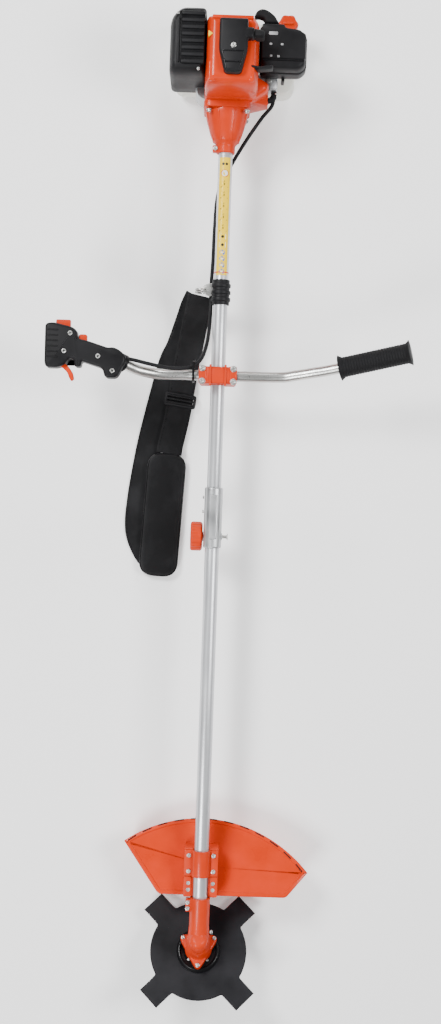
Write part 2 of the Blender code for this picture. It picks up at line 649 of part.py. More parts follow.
def make_crank():
    """Crankcase with the crankshaft, flywheel fan, cylinder, piston and plug."""
    case = box("crankcase", (-35 * MM, 45 * MM), (-66.5 * MM, 33 * MM),
               (CASE_BOTTOM_Z, 150 * MM), ALUMINIUM, bevel=5 * MM)
    bearing = rod("crank_bearing", CRANK_R + FIT, on_boom(-70 * MM), on_boom(40 * MM))
    chamber = rod("crank_chamber", 23.5 * MM, on_boom(CYLINDER_Y - 15 * MM),
                  on_boom(CYLINDER_Y + 15 * MM))
    mouth = rod("crank_mouth", BORE_R, (0, CYLINDER_Y, BOOM_Z), (0, CYLINDER_Y, 160 * MM))
    cut(case, bearing, chamber, mouth)

    shaft = rod("crankshaft", CRANK_R, on_boom(-124.5 * MM), on_boom(CYLINDER_Y - 5 * MM),
                STEEL, sides=20)
    rear = rod("crank_rear", CRANK_R, on_boom(CYLINDER_Y + 5 * MM), on_boom(38 * MM), sides=20)
    webs = [rod(f"crank_web_{i}", 21 * MM, on_boom(CYLINDER_Y + y), on_boom(CYLINDER_Y + y + 6 * MM))
            for i, y in enumerate((-11 * MM, 5 * MM))]
    throw = rod("crank_pin", 5 * MM, on_boom(CYLINDER_Y - 8 * MM, 0, 13 * MM),
                on_boom(CYLINDER_Y + 8 * MM, 0, 13 * MM), sides=16)
    join(shaft, webs[0], throw, webs[1], rear)

    fan = rod("flywheel_fan", 38 * MM, on_boom(-88 * MM), on_boom(-70 * MM), ALUMINIUM)
    for i in range(10):
        angle = 2 * math.pi * i / 10
        out = Vector((math.cos(angle), 0, math.sin(angle)))
        spot = Vector(on_boom(-88.5 * MM)) + out * 33 * MM
        cut(fan, rod(f"fan_gap_{i}", 7.5 * MM, spot, spot + Y_AXIS * 12 * MM, sides=10))
    cut(fan, rod("fan_bore", CRANK_R + GAP, on_boom(-90 * MM), on_boom(-60 * MM), sides=20))

    fan_y = (FLANGE_Y + GAP, -66.5 * MM - GAP)
    fan_case = plate("fan_housing", [(-41 * MM, -148 * MM), (40 * MM, -148 * MM),
                                     (74 * MM, -128 * MM), (74 * MM, -98 * MM),
                                     (40 * MM, -66 * MM), (-26 * MM, -66 * MM),
                                     (-41 * MM, -80 * MM)], fan_y[0], fan_y[1], ORANGE,
                     Matrix.Rotation(math.radians(-90), 4, "X"), bevel=2 * MM)
    cut(fan_case, rod("fan_well", 40.5 * MM, on_boom(-95 * MM), on_boom(-60 * MM)))


def make_cylinder():
    """Finned cylinder with a bore, the piston and the spark plug."""
    top = 232 * MM
    barrel = box("cylinder", (-25 * MM, 25 * MM), (CYLINDER_Y - 30 * MM, CYLINDER_Y + 30 * MM),
                 (150 * MM + GAP, top), ALUMINIUM)
    for i in range(6):
        low = (160 + 11 * i) * MM
        slot = box(f"fin_slot_{i}", (-40 * MM, 40 * MM),
                   (CYLINDER_Y - 40 * MM, CYLINDER_Y + 40 * MM), (low, low + 6 * MM))
        cut(slot, rod(f"fin_core_{i}", 21 * MM, (0, CYLINDER_Y, low - MM),
                      (0, CYLINDER_Y, low + 7 * MM), sides=24))
        cut(barrel, slot)
    bore = rod("cylinder_bore", BORE_R, (0, CYLINDER_Y, 140 * MM),
               (0, CYLINDER_Y, top - 8 * MM), sides=24)
    cut(barrel, bore)
    piston = rod("piston", BORE_R - GAP - 0.1 * MM, (0, CYLINDER_Y, 186 * MM),
                 (0, CYLINDER_Y, 212 * MM), ALUMINIUM, sides=24)
    cut(piston, rod("piston_well", 14 * MM, (0, CYLINDER_Y, 180 * MM),
                    (0, CYLINDER_Y, 207 * MM), sides=24))
    plug = rod("spark_plug", 8 * MM, (0, CYLINDER_Y, top + GAP), (0, CYLINDER_Y, top + 9 * MM),
               STEEL, sides=6)
    join(plug, rod("plug_tip", 4 * MM, (0, CYLINDER_Y, top + 8 * MM),
                   (0, CYLINDER_Y, top + 24 * MM), sides=12))


def make_covers():
    """Orange top cover, plug cover, muffler and its guard."""
    wall = COVER_WALL
    (x0, x1), (y0, y1), (z0, z1) = COVER_X, COVER_Y, COVER_Z
    cover = box("engine_top_cover", (x0, x1), (y0, y1), (z0, z1), ORANGE, bevel=9 * MM)
    inside = box("cover_inside", (x0 + wall, x1 - wall), (y0 + wall, y1 - wall),
                 (z0 - 20 * MM, z1 - wall), bevel=7 * MM)
    port = rod("cover_port", 11 * MM, (x0 - MM, CYLINDER_Y, 176 * MM),
               (x0 + 10 * MM, CYLINDER_Y, 176 * MM), sides=20)
    plug_hole = rod("cover_plug_hole", 10 * MM, (0, CYLINDER_Y, z1 - 8 * MM),
                    (0, CYLINDER_Y, z1 + 5 * MM), sides=20)
    cut(cover, inside, port, plug_hole)

    top = (z1 + GAP, z1 + 17 * MM)
    outline = [(-17 * MM, 19 * MM), (-17 * MM, -34 * MM), (-7 * MM, -72 * MM),
               (-3 * MM, -75.5 * MM), (19 * MM, -75.5 * MM), (24 * MM, -72 * MM),
               (33 * MM, -34 * MM), (33 * MM, -16 * MM), (44 * MM, -16 * MM), (44 * MM, 4 * MM),
               (33 * MM, 4 * MM), (33 * MM, 19 * MM)]
    plug_cover = plate("spark_plug_cover", outline, *top, BLACK, bevel=3 * MM)
    cut(plug_cover, box("plug_cover_inside", (-14 * MM, 21 * MM), (-60 * MM, 16 * MM),
                        (top[0] - MM, top[1] - 2.5 * MM)))

    muffler = box("muffler", (-97 * MM, -44 * MM), (-60 * MM, 34 * MM), (113 * MM, 224 * MM),
                  STEEL, bevel=8 * MM)
    join(muffler, rod("muffler_pipe", 9 * MM, (-50 * MM, CYLINDER_Y, 176 * MM),
                      (-25 * MM - GAP, CYLINDER_Y, 176 * MM), sides=20))
    guard = box("muffler_guard", (-104 * MM, x0 - GAP), (-68 * MM, 50 * MM),
                (104 * MM, 234 * MM), BLACK, bevel=14 * MM, segments=3)
    hollow = box("muffler_guard_inside", (-101 * MM, 10 * MM), (-65 * MM, 47 * MM),
                 (107 * MM, 231 * MM), bevel=11 * MM)
    cut(guard, hollow)
    for i in range(6):
        y = (-46 + 15 * i) * MM
        cut(guard, box(f"guard_slot_{i}", (-84 * MM, -50 * MM), (y, y + 7 * MM),
                       (225 * MM, 240 * MM)))


def make_intake():
    """Intake piece, carburettor, air filter base and cover, choke lever."""
    box("intake_insulator", (45 * MM + GAP, 56 * MM), (-63 * MM, -38 * MM), (103 * MM, 132 * MM),
        BLACK, bevel=3 * MM)
    box("carburettor", (56 * MM + GAP, 90 * MM), (-66 * MM, -36 * MM), (100 * MM, 134 * MM),
        ALUMINIUM, bevel=3 * MM)
    x, y = (54.5 * MM, 139.5 * MM), (-48 * MM, 37 * MM)
    base = box("air_filter_base", x, y, (134.5 * MM, 150 * MM), BLACK, bevel=5 * MM)
    cover = box("air_filter_cover", x, y, (150 * MM + GAP, 192 * MM), BLACK, bevel=9 * MM)
    inside = box("filter_inside", (x[0] + 4 * MM, x[1] - 4 * MM), (y[0] + 4 * MM, y[1] - 4 * MM),
                 (149 * MM, 188 * MM), bevel=5 * MM)
    cut(cover, inside)
    cut(base, box("filter_well", (x[0] + 6 * MM, x[1] - 6 * MM), (y[0] + 6 * MM, y[1] - 6 * MM),
                  (139 * MM, 152 * MM)))
    lever = box("choke_lever", (96 * MM, 102 * MM), (y[0] - 6 * MM, y[0] - GAP),
                (120 * MM, 146 * MM), BLACK, bevel=1.5 * MM)
    place_origin(lever, (99 * MM, y[0] - 3 * MM, 142 * MM))


def place_origin(obj, point):
    """Moves the object's origin to a point on its joint's axis, shape unmoved."""
    shift = obj.matrix_world.inverted() @ Vector(point)
    obj.data.transform(Matrix.Translation(-shift))
    obj.matrix_world = obj.matrix_world @ Matrix.Translation(shift)


def make_tank():
    """Fuel tank with filler neck, lobed cap and the foot below."""
    tank = box("fuel_tank", TANK_X, TANK_Y, TANK_Z, TANK_WHITE, bevel=18 * MM, segments=3)
    neck_top = 90 * MM
    join(tank, rod("tank_neck", 12 * MM, (*FILLER, 40 * MM), (*FILLER, neck_top), sides=24))
    inside = box("tank_inside", (TANK_X[0] + 3 * MM, TANK_X[1] - 3 * MM),
                 (TANK_Y[0] + 3 * MM, TANK_Y[1] - 3 * MM),
                 (TANK_Z[0] + 3 * MM, TANK_Z[1] - 3 * MM), bevel=16 * MM)
    cut(tank, inside, rod("neck_bore", 9.5 * MM, (*FILLER, 50 * MM), (*FILLER, 98 * MM), sides=24))
    lobes = []
    for step in range(48):
        angle = 2 * math.pi * step / 48
        radius = (18 + 1.2 * math.cos(6 * angle)) * MM
        lobes.append((radius * math.cos(angle), radius * math.sin(angle)))
    cap = plate("fuel_cap", lobes, 78 * MM, 100 * MM, ORANGE, Matrix.Translation((*FILLER, 0)))
    cut(cap, rod("cap_well", 12 * MM + GAP, (*FILLER, 73 * MM), (*FILLER, neck_top + GAP), sides=24))

    foot = box("tank_foot", (-42 * MM, 42 * MM), (-62 * MM, 62 * MM), (0, TANK_Z[0] - GAP),
               BLACK, bevel=2.5 * MM)
    post = box("foot_post", (-30 * MM, 30 * MM), (-63 * MM, -55 * MM), (4 * MM, CASE_BOTTOM_Z + 20 * MM))
    cut(join(foot, post), box("foot_well", (-32 * MM, 32 * MM), (-45 * MM, 45 * MM),
                              (8 * MM, 14 * MM)))
    cut(bpy.data.objects["crankcase"],
        box("post_socket", (-30.3 * MM, 30.3 * MM), (-70 * MM, -54.6 * MM),
            (50 * MM, CASE_BOTTOM_Z + 20.3 * MM)))


def make_starter():
    """Recoil starter: cup housing with a post, the rope pulley and the grip."""
    rear, front = 60 * MM, 36 * MM
    radius = 39 * MM
    depth = rear - front
    profile = [(0, depth), (radius, depth), (radius, 0), (radius - 3 * MM, 0),
               (radius - 3 * MM, depth - 3 * MM), (5 * MM, depth - 3 * MM), (5 * MM, 6 * MM),
               (0, 6 * MM)]
    turned("starter_housing", profile, on_boom(front), Y_AXIS, BLACK, closed=False)
    ring("starter_pulley", PULLEY_R, 5 * MM + FIT, on_boom(front + 7 * MM),
         on_boom(front + 16 * MM), BLACK)
    outline = [(43 * MM, 47 * MM), (47 * MM, 59 * MM), (57 * MM, 64.5 * MM), (68 * MM, 61 * MM),
               (80 * MM, 52 * MM), (88.5 * MM, 40 * MM), (88.5 * MM, 37.6 * MM),
               (62 * MM, 37.6 * MM), (61 * MM, 47 * MM), (54 * MM, 50 * MM)]
    plate("starter_grip", outline, 160 * MM, 182 * MM, BLACK, bevel=4 * MM)


# ---------------------------------------------------------------------- handlebar
def bar_points():
    """Bar's centre line: smooth to the right grip, then straight inside it."""
    bend = smooth_route(LEFT_ROUTE + RIGHT_ROUTE + [tuple(GRIP_START)], 30)
    return bend + [tuple(GRIP_START.lerp(GRIP_END, 0.96))]


def make_handlebar():
    """Bent tube, right grip and the four-bolt clamp on the boom."""
    bar = to_mesh(wire("handlebar_tube", bar_points(), BAR_R, STEEL), STEEL)
    smooth(bar)
    length = (GRIP_END - GRIP_START).length
    start = 5 * MM
    profile = [(23 * MM, length), (23 * MM, length - 4 * MM), (GRIP_R, length - 10 * MM),
               (GRIP_R, start + 12 * MM), (23 * MM, start + 5 * MM), (23 * MM, start),
               (BAR_R + GAP, start), (BAR_R + GAP, length)]
    turned("right_grip", profile, GRIP_START, GRIP_END - GRIP_START, RUBBER)

    x = (-CLAMP_WIDTH / 2, CLAMP_WIDTH / 2)
    y = (CLAMP_Y - CLAMP_LENGTH / 2, CLAMP_Y + CLAMP_LENGTH / 2)
    base = box("handlebar_clamp_base", x, y, (BOOM_Z + GAP, BAR_Z - GAP), ORANGE, bevel=3 * MM)
    cap = box("handlebar_clamp_cap", x, y, (BAR_Z + GAP, BAR_Z + 15 * MM), ORANGE, bevel=4 * MM)
    lower = box("boom_clamp_cap", x, y, (BOOM_Z - 19 * MM, BOOM_Z - GAP), ORANGE, bevel=4 * MM)
    bar_hole = rod("clamp_bar_hole", BAR_R + GAP, (-50 * MM, CLAMP_Y, BAR_Z),
                   (50 * MM, CLAMP_Y, BAR_Z))
    boom_hole = boom_cutter("clamp_boom_hole", y[0] - MM, y[1] + MM)
    cut(base, bar_hole, boom_hole)
    cut(cap, bar_hole)
    cut(lower, boom_hole)


def make_throttle():
    """Throttle grip halves, the trigger, the stop switch and the lock button."""
    outline = [(-307 * MM, -511.5 * MM), (-292 * MM, -509 * MM), (-258 * MM, -517 * MM),
               (-250.5 * MM, -523 * MM), (-249 * MM, -536.7 * MM), (-231 * MM, -540 * MM),
               (-195 * MM, -551 * MM), (-186 * MM, -549.5 * MM), (-175 * MM, -554 * MM),
               (-163.3 * MM, -564 * MM), (-163 * MM, -576 * MM), (-171 * MM, -590 * MM),
               (-178 * MM, -604 * MM), (-199 * MM, -604.5 * MM), (-203.6 * MM, -587.5 * MM),
               (-241.5 * MM, -576.3 * MM), (-241.6 * MM, -586.3 * MM), (-253.4 * MM, -587.3 * MM),
               (-254.4 * MM, -574.3 * MM), (-262 * MM, -572 * MM), (-271 * MM, -584 * MM),
               (-283 * MM, -589 * MM), (-303 * MM, -589 * MM), (-306.5 * MM, -581 * MM)]
    low, split, high = HOUSING_Z
    halves = [plate("throttle_housing_rear", outline, low, split - GAP / 2, BLACK),
              plate("throttle_housing_front", outline, split + GAP / 2, high, BLACK)]
    tip, inner = (Vector(point) for point in bar_points()[:2])
    bar_hole = rod("housing_bar_hole", BAR_R + 3 * GAP, tip - (inner - tip) * 0.1,
                   tip + (inner - tip) * 2.5)
    swing = plate("trigger_room", [(-291 * MM, -574 * MM), (-262 * MM, -568 * MM),
                                   (-236 * MM, -580 * MM), (-232 * MM, -625 * MM),
                                   (-300 * MM, -625 * MM)],
                  TRIGGER_Z[0] - FIT, TRIGGER_Z[1] + FIT)
    button_room = box("button_room", (-248.5 * MM, -232.5 * MM), (-552 * MM, -520 * MM),
                      (182.5 * MM, 195.5 * MM))
    switch_room = box("switch_room", (-294 * MM, -256 * MM), (-516.3 * MM, -490 * MM),
                      (182.5 * MM, 195.5 * MM))
    pocket = box("housing_pocket", (-299 * MM, -256 * MM), (-566 * MM, -530 * MM),
                 (174 * MM, 204 * MM))
    for half in halves:
        cut(half, bar_hole, swing, button_room, switch_room, pocket)

    lever = [(-283.3 * MM, -585.2 * MM), (-284.5 * MM, -579.5 * MM), (-279 * MM, -576.5 * MM),
             (-273 * MM, -578.5 * MM), (-264 * MM, -586.5 * MM), (-256.5 * MM, -597 * MM),
             (-253.8 * MM, -608 * MM), (-258.8 * MM, -612 * MM), (-262.5 * MM, -606 * MM),
             (-266.5 * MM, -596.5 * MM), (-274 * MM, -589 * MM)]
    trigger = plate("throttle_trigger", lever, *TRIGGER_Z, ORANGE, bevel=1.2 * MM)
    place_origin(trigger, (*TRIGGER_PIVOT, split))
    box("stop_switch", (-289 * MM, -263 * MM), (-516 * MM, -503 * MM), (183 * MM, 195 * MM),
        ORANGE, bevel=1.5 * MM)
    box("lock_button", (-248 * MM, -233 * MM), (-545 * MM, -528 * MM), (183 * MM, 195 * MM),
        ORANGE, bevel=1.5 * MM)


# ------------------------------------------------------------------ hanger & harness


def make_cable():
    """Throttle conduit from the carburettor to the throttle grip."""
    wire("throttle_cable_conduit", smooth_route(CABLE_ROUTE, 40), CORD_R, BLACK)


def make_hanger():
    """Ribbed clamp round the boom with an eye, the snap hook and its gate."""
    y0, y1 = -457 * MM, -411.5 * MM
    radius = 16 * MM
    profile = [(radius, y1 - y0)]
    for i in range(3):
        top = (y1 - y0) - (4 + 14 * i) * MM
        profile += [(radius, top), (radius + 2 * MM, top - 2 * MM),
                    (radius + 2 * MM, top - 7 * MM), (radius, top - 9 * MM)]
    profile += [(radius, 0), (BOOM_R + GAP, 0), (BOOM_R + GAP, y1 - y0)]
    clamp = turned("hanger_clamp", profile, on_boom(y0), Y_AXIS, BLACK)
    lug = box("hanger_lug", (-34.5 * MM, -14 * MM), (EYE[1] - 12 * MM, EYE[1] + 12 * MM),
              (BOOM_Z - 2 * MM, BOOM_Z + 2 * MM), bevel=1 * MM)
    eye = rod("hanger_eye", 4.6 * MM, (*EYE, BOOM_Z - 5 * MM), (*EYE, BOOM_Z + 5 * MM), sides=20)
    cut(join(clamp, lug), eye)

    loop = Vector((-36 * MM, EYE[1], BOOM_Z))
    turn = Matrix.Translation(loop) @ Matrix.Rotation(math.radians(90), 4, "X")
    hook = torus("snap_hook", HOOK_R, HOOK_WIRE, turn, STEEL)
    gap = box("hook_opening", (-48 * MM, -40 * MM), (EYE[1] - 5 * MM, EYE[1] + 5 * MM),
              (BOOM_Z - 5 * MM, BOOM_Z + 5 * MM))
    cut(hook, gap)
    stem = rod("hook_stem", 2.6 * MM, loop - Z_AXIS * 9.5 * MM, loop - Z_AXIS * 17 * MM, sides=12)
    belt = torus("hook_belt_ring", 10 * MM, 2 * MM,
                 Matrix.Translation(loop - Z_AXIS * 28.5 * MM)
                 @ Matrix.Rotation(math.radians(90), 4, "X"), None)
    join(hook, stem, belt)
    gate = rod("snap_hook_gate", HOOK_WIRE * 0.9, loop + Vector((-HOOK_R, 0, -4.4 * MM)),
               loop + Vector((-HOOK_R, 0, 4.4 * MM)), STEEL, sides=12)
    place_origin(gate, loop + Vector((-HOOK_R, 0, -4.4 * MM)))


def torus(name, major, minor, matrix, look):
    """A ring of wire as a cyclic curve made a mesh."""
    angles = [2 * math.pi * i / 18 for i in range(18)]
    points = [(major * math.cos(angle), major * math.sin(angle), 0) for angle in angles]
    ring_wire = wire(name, points, minor, look, cyclic=True)
    ring_wire.matrix_world = matrix
    return to_mesh(ring_wire, look)


def band(name, route, width, thick, look, count=24):
    """Webbing: a strip that follows a route, thickened by Solidify."""
    centre = [Vector(p) for p in smooth_route(route, count)]
    bm = bmesh.new()
    rows = []
    for i, point in enumerate(centre):
        along = centre[min(i + 1, count - 1)] - centre[max(i - 1, 0)]
        side = Z_AXIS.cross(along).normalized() * width / 2
        rows.append([bm.verts.new(point - side), bm.verts.new(point + side)])
    for first, second in zip(rows[:-1], rows[1:]):
        bm.faces.new((first[0], first[1], second[1], second[0]))
    bmesh.ops.recalc_face_normals(bm, faces=bm.faces)
    data = bpy.data.meshes.new("band")
    bm.to_mesh(data)
    bm.free()
    obj = add(name, data, look)
    solid = obj.modifiers.new("Solidify", "SOLIDIFY")
    solid.thickness = thick
    solid.offset = 0
    return obj


def make_harness():
    """Shoulder strap on the floor: two bands, an adjusting buckle and the pad."""
    band("strap_long_band", LONG_ROUTE, STRAP_WIDTH, STRAP_T, WEBBING)
    band("strap_front_band", SHORT_ROUTE, STRAP_WIDTH, STRAP_T, WEBBING, 16)
    tilt = Matrix.Rotation(math.radians(-8), 4, "Z")
    x, y, z = BUCKLE_AT
    buckle = box("strap_buckle", (x - 30 * MM, x + 30 * MM), (y - 13 * MM, y + 13 * MM),
                 (z - 4 * MM, z + 5 * MM), BLACK, bevel=2 * MM, turn=tilt)
    room = box("buckle_room", (x - 26 * MM, x + 26 * MM), (y - 20 * MM, y + 20 * MM),
               (z - 2.3 * MM, z + 2.3 * MM), turn=tilt)
    cut(buckle, room)

    top, bottom = (Vector(end) for end in PAD_ENDS)
    along = (bottom - top).normalized()
    side = Vector((-along.y, along.x))
    middle = (top + bottom) / 2
    reach, half, round_r = (bottom - top).length / 2, PAD_WIDTH / 2, 26 * MM
    outline = []
    for corner, (u, v) in enumerate(((1, 1), (-1, 1), (-1, -1), (1, -1))):
        centre = middle + along * u * (reach - round_r) + side * v * (half - round_r)
        for step in range(5):
            angle = math.radians(90 * (corner + step / 4))
            spoke = along * math.cos(angle) + side * math.sin(angle)
            outline.append(tuple(centre + spoke * round_r))
    plate("shoulder_pad", outline, *PAD_Z, WEBBING, bevel=5 * MM)


def main():
    clear_scene()
    make_booms()
    make_coupler()
    make_gear_case()
    make_gears()
    make_blade()
    make_guard()
    make_guard_bracket()
    make_clutch()
    make_crank()
    make_cylinder()
    make_covers()
    make_intake()
    make_tank()
    make_starter()
    make_handlebar()
    make_throttle()
    make_cable()
    make_hanger()
    make_harness()


main()
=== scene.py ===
"""Brush cutter: the finished surfaces and materials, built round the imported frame."""
import json
import math

import bmesh
import bpy
import numpy as np
from bpy.props import FloatProperty, FloatVectorProperty, IntProperty, PointerProperty
from mathutils import Matrix, Vector


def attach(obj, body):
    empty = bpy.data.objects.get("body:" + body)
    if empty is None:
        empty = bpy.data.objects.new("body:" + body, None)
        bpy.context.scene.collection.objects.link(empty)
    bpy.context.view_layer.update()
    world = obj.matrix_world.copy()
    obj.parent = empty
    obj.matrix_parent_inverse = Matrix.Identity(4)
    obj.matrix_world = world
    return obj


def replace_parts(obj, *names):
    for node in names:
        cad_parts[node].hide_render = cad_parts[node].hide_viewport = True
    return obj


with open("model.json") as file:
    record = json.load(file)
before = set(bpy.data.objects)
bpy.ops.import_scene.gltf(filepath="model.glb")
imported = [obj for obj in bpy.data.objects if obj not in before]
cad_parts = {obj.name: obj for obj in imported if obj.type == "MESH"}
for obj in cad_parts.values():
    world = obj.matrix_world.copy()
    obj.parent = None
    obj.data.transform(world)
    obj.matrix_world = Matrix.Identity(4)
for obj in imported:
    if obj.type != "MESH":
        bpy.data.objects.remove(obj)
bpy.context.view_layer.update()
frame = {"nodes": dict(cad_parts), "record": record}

bl_info = {
    "name": "Brush Cutter Builder",
    "version": (1, 0, 0),
    "blender": (4, 5, 0),
    "location": "3D View > Sidebar > Brush Cutter",
    "description": "Builds the surfaces and materials of a two-stroke brush cutter",
    "category": "Object",
}

MM = 0.001
GAP = 0.3 * MM
BOOM_Z = 115 * MM
BOOM_R = 13 * MM
HEAD_ANGLE = math.radians(30)
APEX = np.array((0.0, -1623 * MM, BOOM_Z))
OUTPUT = np.array((0.0, -math.sin(HEAD_ANGLE), -math.cos(HEAD_ANGLE)))
BLADE_DROP = 55 * MM
Y_AXIS = np.array((0.0, 1.0, 0.0))
X_AXIS = np.array((1.0, 0.0, 0.0))
Z_AXIS = np.array((0.0, 0.0, 1.0))


# --------------------------------------------------------------- surface tools
def basis(origin, axis, hint=None):
    """A placing of four columns: side, up, axis and origin; up is near the hint."""
    axis = np.asarray(axis, float) / np.linalg.norm(axis)
    hint = Z_AXIS if hint is None else np.asarray(hint, float)
    if abs(axis @ hint) > 0.98 * np.linalg.norm(hint):
        hint = Y_AXIS
    side = np.cross(hint, axis)
    side /= np.linalg.norm(side)
    return np.column_stack([side, np.cross(axis, side), axis, np.asarray(origin, float)])


def placed(points, place):
    """Local (side, up, along) coordinates taken into the frame."""
    return points @ place[:, :3].T + place[:, 3]


def surface(name, points, look, body, close_u=True, close_v=False, caps=True):
    """A grid (rows v, columns u) of points as quads; u runs round each row.

    Rows join to the next row; closed ends get one cap polygon each."""
    rows, cols = points.shape[:2]
    index = np.arange(rows * cols).reshape(rows, cols)
    down = np.roll(index, -1, axis=0) if close_v else index
    first, second = (index, down) if close_v else (index[:-1], index[1:])
    wide = cols if close_u else cols - 1
    right_a, right_b = np.roll(first, -1, axis=1), np.roll(second, -1, axis=1)
    quads = np.stack([first, right_a, right_b, second], axis=-1)[:, :wide].reshape(-1, 4)
    faces = quads.tolist()
    if caps and not close_v:
        faces += [index[0, ::-1].tolist(), index[-1].tolist()]
    mesh = bpy.data.meshes.new(name)
    mesh.from_pydata(points.reshape(-1, 3).tolist(), [], faces)
    return finished(name, mesh, look, body)


def finished(name, mesh, look, body, angle=38, weld=True):
    """Links a mesh as a piece: doubles merged, faces out, smooth, on its body."""
    bm = bmesh.new()
    bm.from_mesh(mesh)
    if weld:
        bmesh.ops.remove_doubles(bm, verts=bm.verts, dist=2e-6)
        bmesh.ops.dissolve_degenerate(bm, edges=bm.edges, dist=1e-6)
    bmesh.ops.recalc_face_normals(bm, faces=bm.faces)
    if bm.calc_volume(signed=True) < 0:
        bmesh.ops.reverse_faces(bm, faces=bm.faces)
    bm.to_mesh(mesh)
    bm.free()
    mesh.shade_smooth()
    mesh.set_sharp_from_angle(angle=math.radians(angle))
    obj = bpy.data.objects.new(name, mesh)
    bpy.context.scene.collection.objects.link(obj)
    paint, slot = MATERIALS[look]
    mesh.materials.clear()
    mesh.materials.append(paint)
    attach(obj, body)
    return obj


def fillet(corners, radius, steps=4, closed=True):
    """A polygon whose corners become arcs: quadratic curves of the given reach."""
    pts = np.asarray(corners, float)
    count = len(pts)
    radii = np.broadcast_to(radius, count)
    out = []
    for i in range(count):
        if not closed and i in (0, count - 1):
            out.append(pts[i])
            continue
        before, here, after = pts[i - 1], pts[i], pts[(i + 1) % count]
        reach_a, reach_b = np.linalg.norm(before - here), np.linalg.norm(after - here)
        reach = min(radii[i], 0.48 * reach_a, 0.48 * reach_b)
        if reach < 1e-7:
            out.append(here)
            continue
        start = here + (before - here) / reach_a * reach
        end = here + (after - here) / reach_b * reach
        for t in np.linspace(0, 1, steps + 1):
            out.append((1 - t) ** 2 * start + 2 * t * (1 - t) * here + t ** 2 * end)
    return np.array(out)


def lathe(name, profile, origin, axis, look, body, radius=0.8 * MM, sides=64, ripple=None):
    """A (radius, height) profile with filleted corners turned about the axis.

    ripple(angle, height) scales the radius, for flutes and ribs."""
    line = fillet(profile, radius, 3, closed=False)
    angle = np.linspace(0, 2 * math.pi, sides, endpoint=False)
    reach, height = line[:, :1], line[:, 1:]
    scale = 1.0 if ripple is None else ripple(angle[None, :], height)
    local = np.stack([reach * scale * np.cos(angle), reach * scale * np.sin(angle),
                      np.broadcast_to(height, (len(line), sides))], axis=-1)
    return surface(name, placed(local, basis(origin, axis)), look, body)


def pipe(name, outer, inner, origin, axis, length, look, body, sides=64, edge=0.5 * MM):
    """A tube piece: a closed ring profile turned about the axis."""
    ring = fillet([(outer, 0), (outer, length), (inner, length), (inner, 0)], edge, 2)
    angle = np.linspace(0, 2 * math.pi, sides, endpoint=False)
    local = np.stack([ring[:, :1] * np.cos(angle), ring[:, :1] * np.sin(angle),
                      np.broadcast_to(ring[:, 1:], (len(ring), sides))], axis=-1)
    return surface(name, placed(local, basis(origin, axis)), look, body, close_v=True,
                   caps=False)


def inward(outline, amount):
    """An outline moved in along its own normals, for a closed 2-D loop."""
    ahead, behind = np.roll(outline, -1, axis=0), np.roll(outline, 1, axis=0)
    along = ahead - behind
    along /= np.maximum(np.linalg.norm(along, axis=1, keepdims=True), 1e-9)
    normal = np.column_stack([-along[:, 1], along[:, 0]])
    area = np.sum(outline[:, 0] * ahead[:, 1] - ahead[:, 0] * outline[:, 1])
    return outline + normal * amount * (1 if area > 0 else -1)


def slab(name, outline, low, high, look, body, place=None, edge=1.5 * MM, top=None,
         steps=4, foot=True, draft=0.0):
    """A flat outline made thick, its rims rounded by quarter-circle rows.

    Row k is the outline moved in by e(1 - sin t) at height e(1 - cos t) from a face."""
    outline = np.asarray(outline, float)
    top = edge if top is None else top
    t = np.linspace(0, math.pi / 2, steps + 1)
    rows = []
    if foot:
        rows += [(edge * (1 - math.sin(a)), low + edge * (1 - math.cos(a))) for a in t]
    else:
        rows.append((0.0, low))
    rows += [(draft + top * (1 - math.sin(a)), high - top * (1 - math.cos(a)))
             for a in t[::-1]]
    grid = np.array([np.column_stack([inward(outline, inset), np.full(len(outline), z)])
                     for inset, z in rows])
    if place is not None:
        grid = placed(grid, place)
    return surface(name, grid, look, body)


def shrunk(corners, radii, amount, steps=5):
    """A polygon moved in by an amount along its mitres, then its corners rounded."""
    pts = np.asarray(corners, float)
    ahead = np.roll(pts, -1, axis=0) - pts
    ahead /= np.linalg.norm(ahead, axis=1, keepdims=True)
    behind = np.roll(ahead, 1, axis=0)
    area = np.sum(pts[:, 0] * np.roll(pts[:, 1], -1) - np.roll(pts[:, 0], -1) * pts[:, 1])
    turn = 1 if area > 0 else -1
    normal = turn * np.column_stack([-(ahead + behind)[:, 1], (ahead + behind)[:, 0]])
    reach = 2 * amount / np.maximum((normal ** 2).sum(axis=1), 0.2)
    radii = np.broadcast_to(radii, len(pts))
    radii = np.where(radii > 0, np.maximum(radii - 0.4 * amount, 0.2 * MM), 0)
    return fillet(pts + normal * reach[:, None], radii, steps)


def shell(name, corners, radii, rows, look, body, steps=5):
    """Stacked insets of one polygon: each row is (inset, height) in millimetres."""
    grid = []
    for inset, z in rows:
        loop = shrunk(corners, radii, inset * MM, steps)
        grid.append(np.column_stack([loop, np.full(len(loop), z * MM)]))
    return surface(name, np.array(grid), look, body)


def oblong(x, y):
    """The four corners of a rectangle between (low, high) pairs."""
    return [(x[0], y[0]), (x[1], y[0]), (x[1], y[1]), (x[0], y[1])]


def rectangle(x, y, corner, steps=5):
    """A rounded rectangle between (low, high) pairs."""
    return fillet([(x[0], y[0]), (x[1], y[0]), (x[1], y[1]), (x[0], y[1])], corner, steps)


def rod(name, radius, start, end, look, body, edge=0.4 * MM, sides=28):
    """A plain pin with rounded rims between two points."""
    start, end = np.asarray(start, float), np.asarray(end, float)
    length = np.linalg.norm(end - start)
    return lathe(name, [(0, 0), (radius, 0), (radius, length), (0, length)], start,
                 end - start, look, body, edge, sides)


